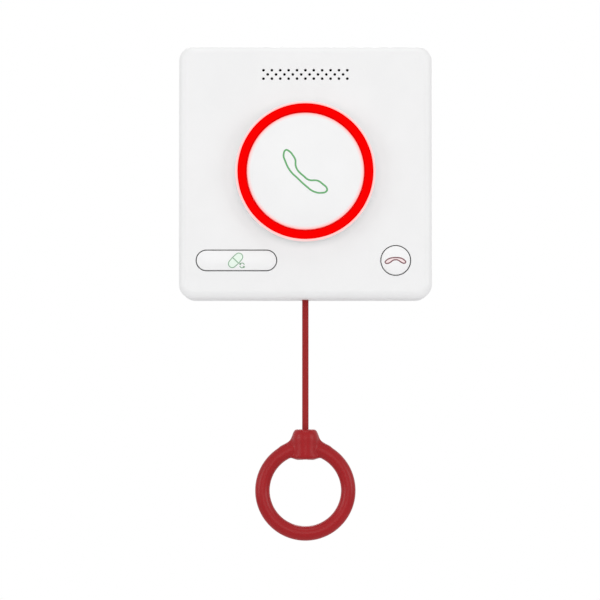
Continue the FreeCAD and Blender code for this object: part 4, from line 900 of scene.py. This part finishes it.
handsetSign = {
    "width": 0.84,
    "points": [
        (-9.5, 10.35), (-10.73, 7.9), (-9.98, 4.95), (-7.47, 0.0), (-3.46, -4.0), (0.56, -7.7),
        (4.07, -10.15), (8.0, -10.8), (10.4, -9.95), (10.6, -8.75), (8.5, -6.5), (6.08, -4.85),
        (1.56, -4.4), (-0.95, -2.5), (-3.96, 0.5), (-4.81, 2.7), (-4.96, 5.4), (-5.96, 7.35),
        (-8.1, 9.75),
    ],
}
hangUpSign = {
    "width": 0.6,
    "points": [
        (-5.25, -0.95), (-4.55, 0.05), (-3.3, 0.84), (-1.8, 1.24), (0.0, 1.36), (1.8, 1.24),
        (3.2, 0.84), (4.3, 0.05), (4.9, -0.9), (4.4, -1.4), (3.2, -1.24), (2.2, -0.6),
        (1.2, 0.04), (0.0, 0.28), (-1.3, 0.02), (-2.3, -0.7), (-3.4, -1.36), (-4.8, -1.45),
    ],
}
medicineSign = {
    "width": 0.44, "centre": (-0.40, 0.0), "angle": 46.0, "half": 2.3, "radius": 1.92,
    "arrows": (2.80, -2.5), "arrowsRadius": 1.15,
    "arrowStarts": (20, 200), "arrowStep": 20, "arrowSteps": 7, "arrowFoot": 112, "arrowTip": 150,
}
inkThick = 0.00008
fillThick = 0.00003
inkCuts = 3
fillCuts = 5
signDepth = 44  # the signs are drawn at this depth, in front of everything, and then laid on


def widened(points, amount):
    # each point of a closed outline that runs the same way round, moved outward
    count = len(points)
    area = sum(points[i - 1][0] * points[i][1] - points[i][0] * points[i - 1][1] for i in range(count))
    way = 1 if area > 0 else -1
    moved = []
    for i, (across, up) in enumerate(points):
        before, after = points[i - 1], points[(i + 1) % count]
        run = Vector((after[0] - before[0], after[1] - before[1])).normalized()
        moved.append((across + way * run.y * amount, up - way * run.x * amount))
    return moved


def closedLine(name, points, centre, depth):
    letGo()
    line = bpy.data.curves.new(name, "CURVE")
    line.dimensions = "3D"
    line.resolution_u = 5
    spline = line.splines.new("BEZIER")
    spline.bezier_points.add(len(points) - 1)
    for knot, (across, up) in zip(spline.bezier_points, points):
        knot.co = Vector((centre[0] + across, -depth, centre[1] + up)) * mm
        knot.handle_left_type = knot.handle_right_type = "AUTO"
    spline.use_cyclic_u = True
    piece = bpy.data.objects.new(name, line)
    bpy.context.collection.objects.link(piece)
    takeHold(piece)
    bpy.ops.object.convert(target="MESH")
    piece = bpy.context.object
    editAll(piece)
    bpy.ops.mesh.edge_face_add()
    return piece


def layOn(piece, target, filled=False):
    editAll(piece)
    bpy.ops.mesh.quads_convert_to_tris(ngon_method="BEAUTY")
    bpy.ops.mesh.subdivide(number_cuts=fillCuts if filled else inkCuts)
    letGo()
    useModifier(piece, "SHRINKWRAP", target=target, wrap_method="PROJECT", use_project_y=True,
                use_negative_direction=True, use_positive_direction=True)
    useModifier(piece, "SOLIDIFY", thickness=fillThick if filled else inkThick, offset=0)
    editAll(piece)
    bpy.ops.mesh.normals_make_consistent(inside=False)
    letGo()


def filledSign(name, points, centre, target, finish, body, slot):
    piece = closedLine(name, points, centre, signDepth)
    layOn(piece, target, filled=True)
    settle(piece, finish, body, slot)


def outlineSign(name, points, centre, width, target, finish, body, slot):
    piece = closedLine(name, widened(points, width / 2), centre, signDepth)
    bpy.ops.mesh.inset(thickness=width * mm, use_boundary=True, use_even_offset=True)
    bpy.ops.mesh.delete(type="FACE")
    layOn(piece, target)
    settle(piece, finish, body, slot)
    return piece


def oblong(half, radius, angle, steps=8):
    turn = math.radians(angle)
    points = []
    for side in (1, -1):
        for i in range(steps + 1):
            bend = turn + math.pi / 2 * (-side + 2 * i / steps)
            points.append((side * half * math.cos(turn) + radius * math.cos(bend),
                           side * half * math.sin(turn) + radius * math.sin(bend)))
    return points


def medicineSigns(target, centre):
    sign = medicineSign
    middle = (centre[0] + sign["centre"][0], centre[1] + sign["centre"][1])
    ends = ("medicine_key", "key_white")
    inner = oblong(sign["half"], sign["radius"] - sign["width"] / 2, sign["angle"])
    fill = closedLine("capsuleFill", inner, middle, signDepth)
    layOn(fill, target, filled=True)
    settle(fill, "inkPaleGreen", *ends)
    rim = oblong(sign["half"], sign["radius"], sign["angle"])
    outlineSign("capsuleRim", rim, middle, sign["width"], target, "inkSage", *ends)
    bar = oblong(sign["radius"] - sign["width"] / 2, sign["width"] / 2, sign["angle"] - 90, 4)
    band = closedLine("capsuleBand", bar, middle, signDepth)
    layOn(band, target)
    settle(band, "inkSage", *ends)
    hub = (centre[0] + sign["arrows"][0], centre[1] + sign["arrows"][1])
    size, wide = sign["arrowsRadius"], sign["width"]
    parts = []
    for start in sign["arrowStarts"]:
        spots = [math.radians(start + sign["arrowStep"] * i) for i in range(sign["arrowSteps"])]
        outer = [((size + wide / 2) * math.cos(s), (size + wide / 2) * math.sin(s)) for s in spots]
        inner = [((size - wide / 2) * math.cos(s), (size - wide / 2) * math.sin(s)) for s in reversed(spots)]
        parts.append(closedLine("arrowArc", outer + inner, hub, signDepth))
        letGo()
        tip = math.radians(start + sign["arrowTip"])
        foot = math.radians(start + sign["arrowFoot"])
        head = [(size * math.cos(tip), size * math.sin(tip)),
                ((size - wide) * math.cos(foot), (size - wide) * math.sin(foot)),
                ((size + wide) * math.cos(foot), (size + wide) * math.sin(foot))]
        parts.append(closedLine("arrowHead", head, hub, signDepth))
    takeHold(*parts)
    bpy.ops.object.join()
    arrows = bpy.context.object
    arrows.name = "refreshArrows"
    layOn(arrows, target)
    settle(arrows, "inkSage", *ends)


outlineSign("handsetSign", handsetSign["points"], (0, 0), handsetSign["width"],
            cap, "inkGreen", "call_cap", "cap_white")
hangUpCentre = keyShapes["hangUpKey"]["centre"]
outlineSign("hangUpSign", hangUpSign["points"], hangUpCentre, hangUpSign["width"],
            keys["hangUpKey"], "inkRed", "hang_up_key", "key_white")
filledSign("hangUpFill", widened(hangUpSign["points"], -hangUpSign["width"] / 2), hangUpCentre,
           keys["hangUpKey"], "inkPink", "hang_up_key", "key_white")
medicineSigns(keys["medicineKey"], keyShapes["medicineKey"]["centre"])
print("signs")

# Ring handle: a hoop, a turned collar and a flare between them, grown together

handleShape = {
    "hoop": 21.4, "tube": 3.68, "middle": -157.4, "top": -127.0,
    "hoopSides": 144, "tubeSides": 40, "collarSides": 72, "flareSides": 64, "boreSides": 48,
    "collar": [(4.5, 0.0), (5.15, 0.25), (5.65, 0.75), (6.05, 1.55), (6.5, 2.6), (6.8, 4.0), (6.5, 8.0),
               (6.3, 13.8), (5.7, 14.4), (4.9, 14.8), (4.0, 15.1), (1.2, 15.3)],
    "flare": [(6.1, 2.0), (6.75, 3.0), (7.2, 4.0), (7.65, 5.0), (8.35, 5.9), (9.6, 6.7), (11.4, 7.6),
              (13.3, 8.7), (5.0, 9.8)],
    "flareFlat": 0.32,
    "lens": [(4.5, 10.6), (6.5, 12.2), (7.4, 13.2), (7.5, 13.8), (6.9, 14.35), (5.3, 14.9),
             (3.5, 15.4), (1.2, 15.8)],
    "lensFlat": 0.8,
    "bore": [(3.5, -0.4), (1.9, 2.0), (1.9, 9.9), (3.2, 9.9), (3.2, 16.3)],
    "voxel": 0.00036, "smoothing": 16, "flareSmoothing": 20,
    "flareReach": 0.0135, "flareLow": -0.1405, "flareHigh": -0.1293,
}


def ringHandle():
    shape = handleShape
    middle = cordLine + Vector((0, 0, shape["middle"] * mm))
    letGo()
    bpy.ops.mesh.primitive_torus_add(major_radius=shape["hoop"] * mm, minor_radius=shape["tube"] * mm,
                                     major_segments=shape["hoopSides"], minor_segments=shape["tubeSides"],
                                     location=middle, rotation=(math.pi / 2, 0, 0))
    hoop = bpy.context.object
    hoop.name = "ringHandle"
    bpy.ops.object.transform_apply(location=True, rotation=True, scale=True)
    top = cordLine + Vector((0, 0, shape["top"] * mm))
    joinForms(hoop, turnPiece("collar", shape["collar"], top, down, shape["collarSides"]), "UNION")
    for name in ("flare", "lens"):
        form = turnPiece(name, shape[name], top, down, shape["flareSides"])
        editAll(form)
        bpy.ops.transform.resize(value=(1, shape[name + "Flat"], 1), center_override=top)
        joinForms(hoop, form, "UNION")
    joinForms(hoop, turnPiece("bore", shape["bore"], top, down, shape["boreSides"]), "DIFFERENCE")
    useModifier(hoop, "REMESH", mode="VOXEL", voxel_size=shape["voxel"], adaptivity=0)
    useModifier(hoop, "SMOOTH", factor=0.5, iterations=shape["smoothing"])
    editAll(hoop)

    def nearFlare(spot):
        return abs(spot.x) < shape["flareReach"] and shape["flareLow"] < spot.z < shape["flareHigh"]

    pickVertices(hoop, nearFlare)
    bpy.ops.mesh.vertices_smooth(factor=0.5, repeat=shape["flareSmoothing"])
    smoothTurns(hoop, 40)
    return hoop


settle(ringHandle(), "handleRed", "handle", "handle_red", "pull_ring")
print("ring handle")

# Finishes of the solids that stay as they are

nodeFinishes = {
    "sealBlack": ["case_gasket", "medicine_seal", "hang_up_seal", "microphone_boot"],
    "innerWhite": ["light_reflector", "pull_guide"],
    "caseWhite": ["battery_door"],
    "lampGlass": ["ring_lamps"],
    "springSteel": ["call_spring", "pull_spring"],
    "switchBlack": ["call_switch", "medicine_switch", "hang_up_switch", "pull_switch"],
    "stemWhite": ["call_switch_stem", "medicine_switch_stem", "hang_up_switch_stem",
                  "pull_slider", "pull_switch_plunger"],
    "speakerBlack": ["speaker_frame"],
    "coneGrey": ["speaker_cone"],
    "foamBlack": ["speaker_gasket"],
    "capsuleSteel": ["microphone"],
    "boardGreen": ["main_board"],
    "canTin": ["radio_module", "radio_aerial"],
    "screwSteel": ["case_screws", "board_screws", "battery_door_screw"],
    "cellWrap": ["battery_cell_1", "battery_cell_2", "battery_cell_3"],
    "contactNickel": ["battery_contact_plus", "battery_bridge_left", "battery_bridge_right",
                      "battery_contact_minus"],
    "ferruleBrass": ["cord_ferrule"],
    "cordRed": ["cord_tail", "cord_knot"],
}
for finish, names in nodeFinishes.items():
    for name in names:
        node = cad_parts[name]
        if not node.material_slots:
            node.data.materials.append(finishes[finish])
        for slot in node.material_slots:
            slot.material = finishes[finish]
print("solids finished")

letGo()
bpy.context.view_layer.update()
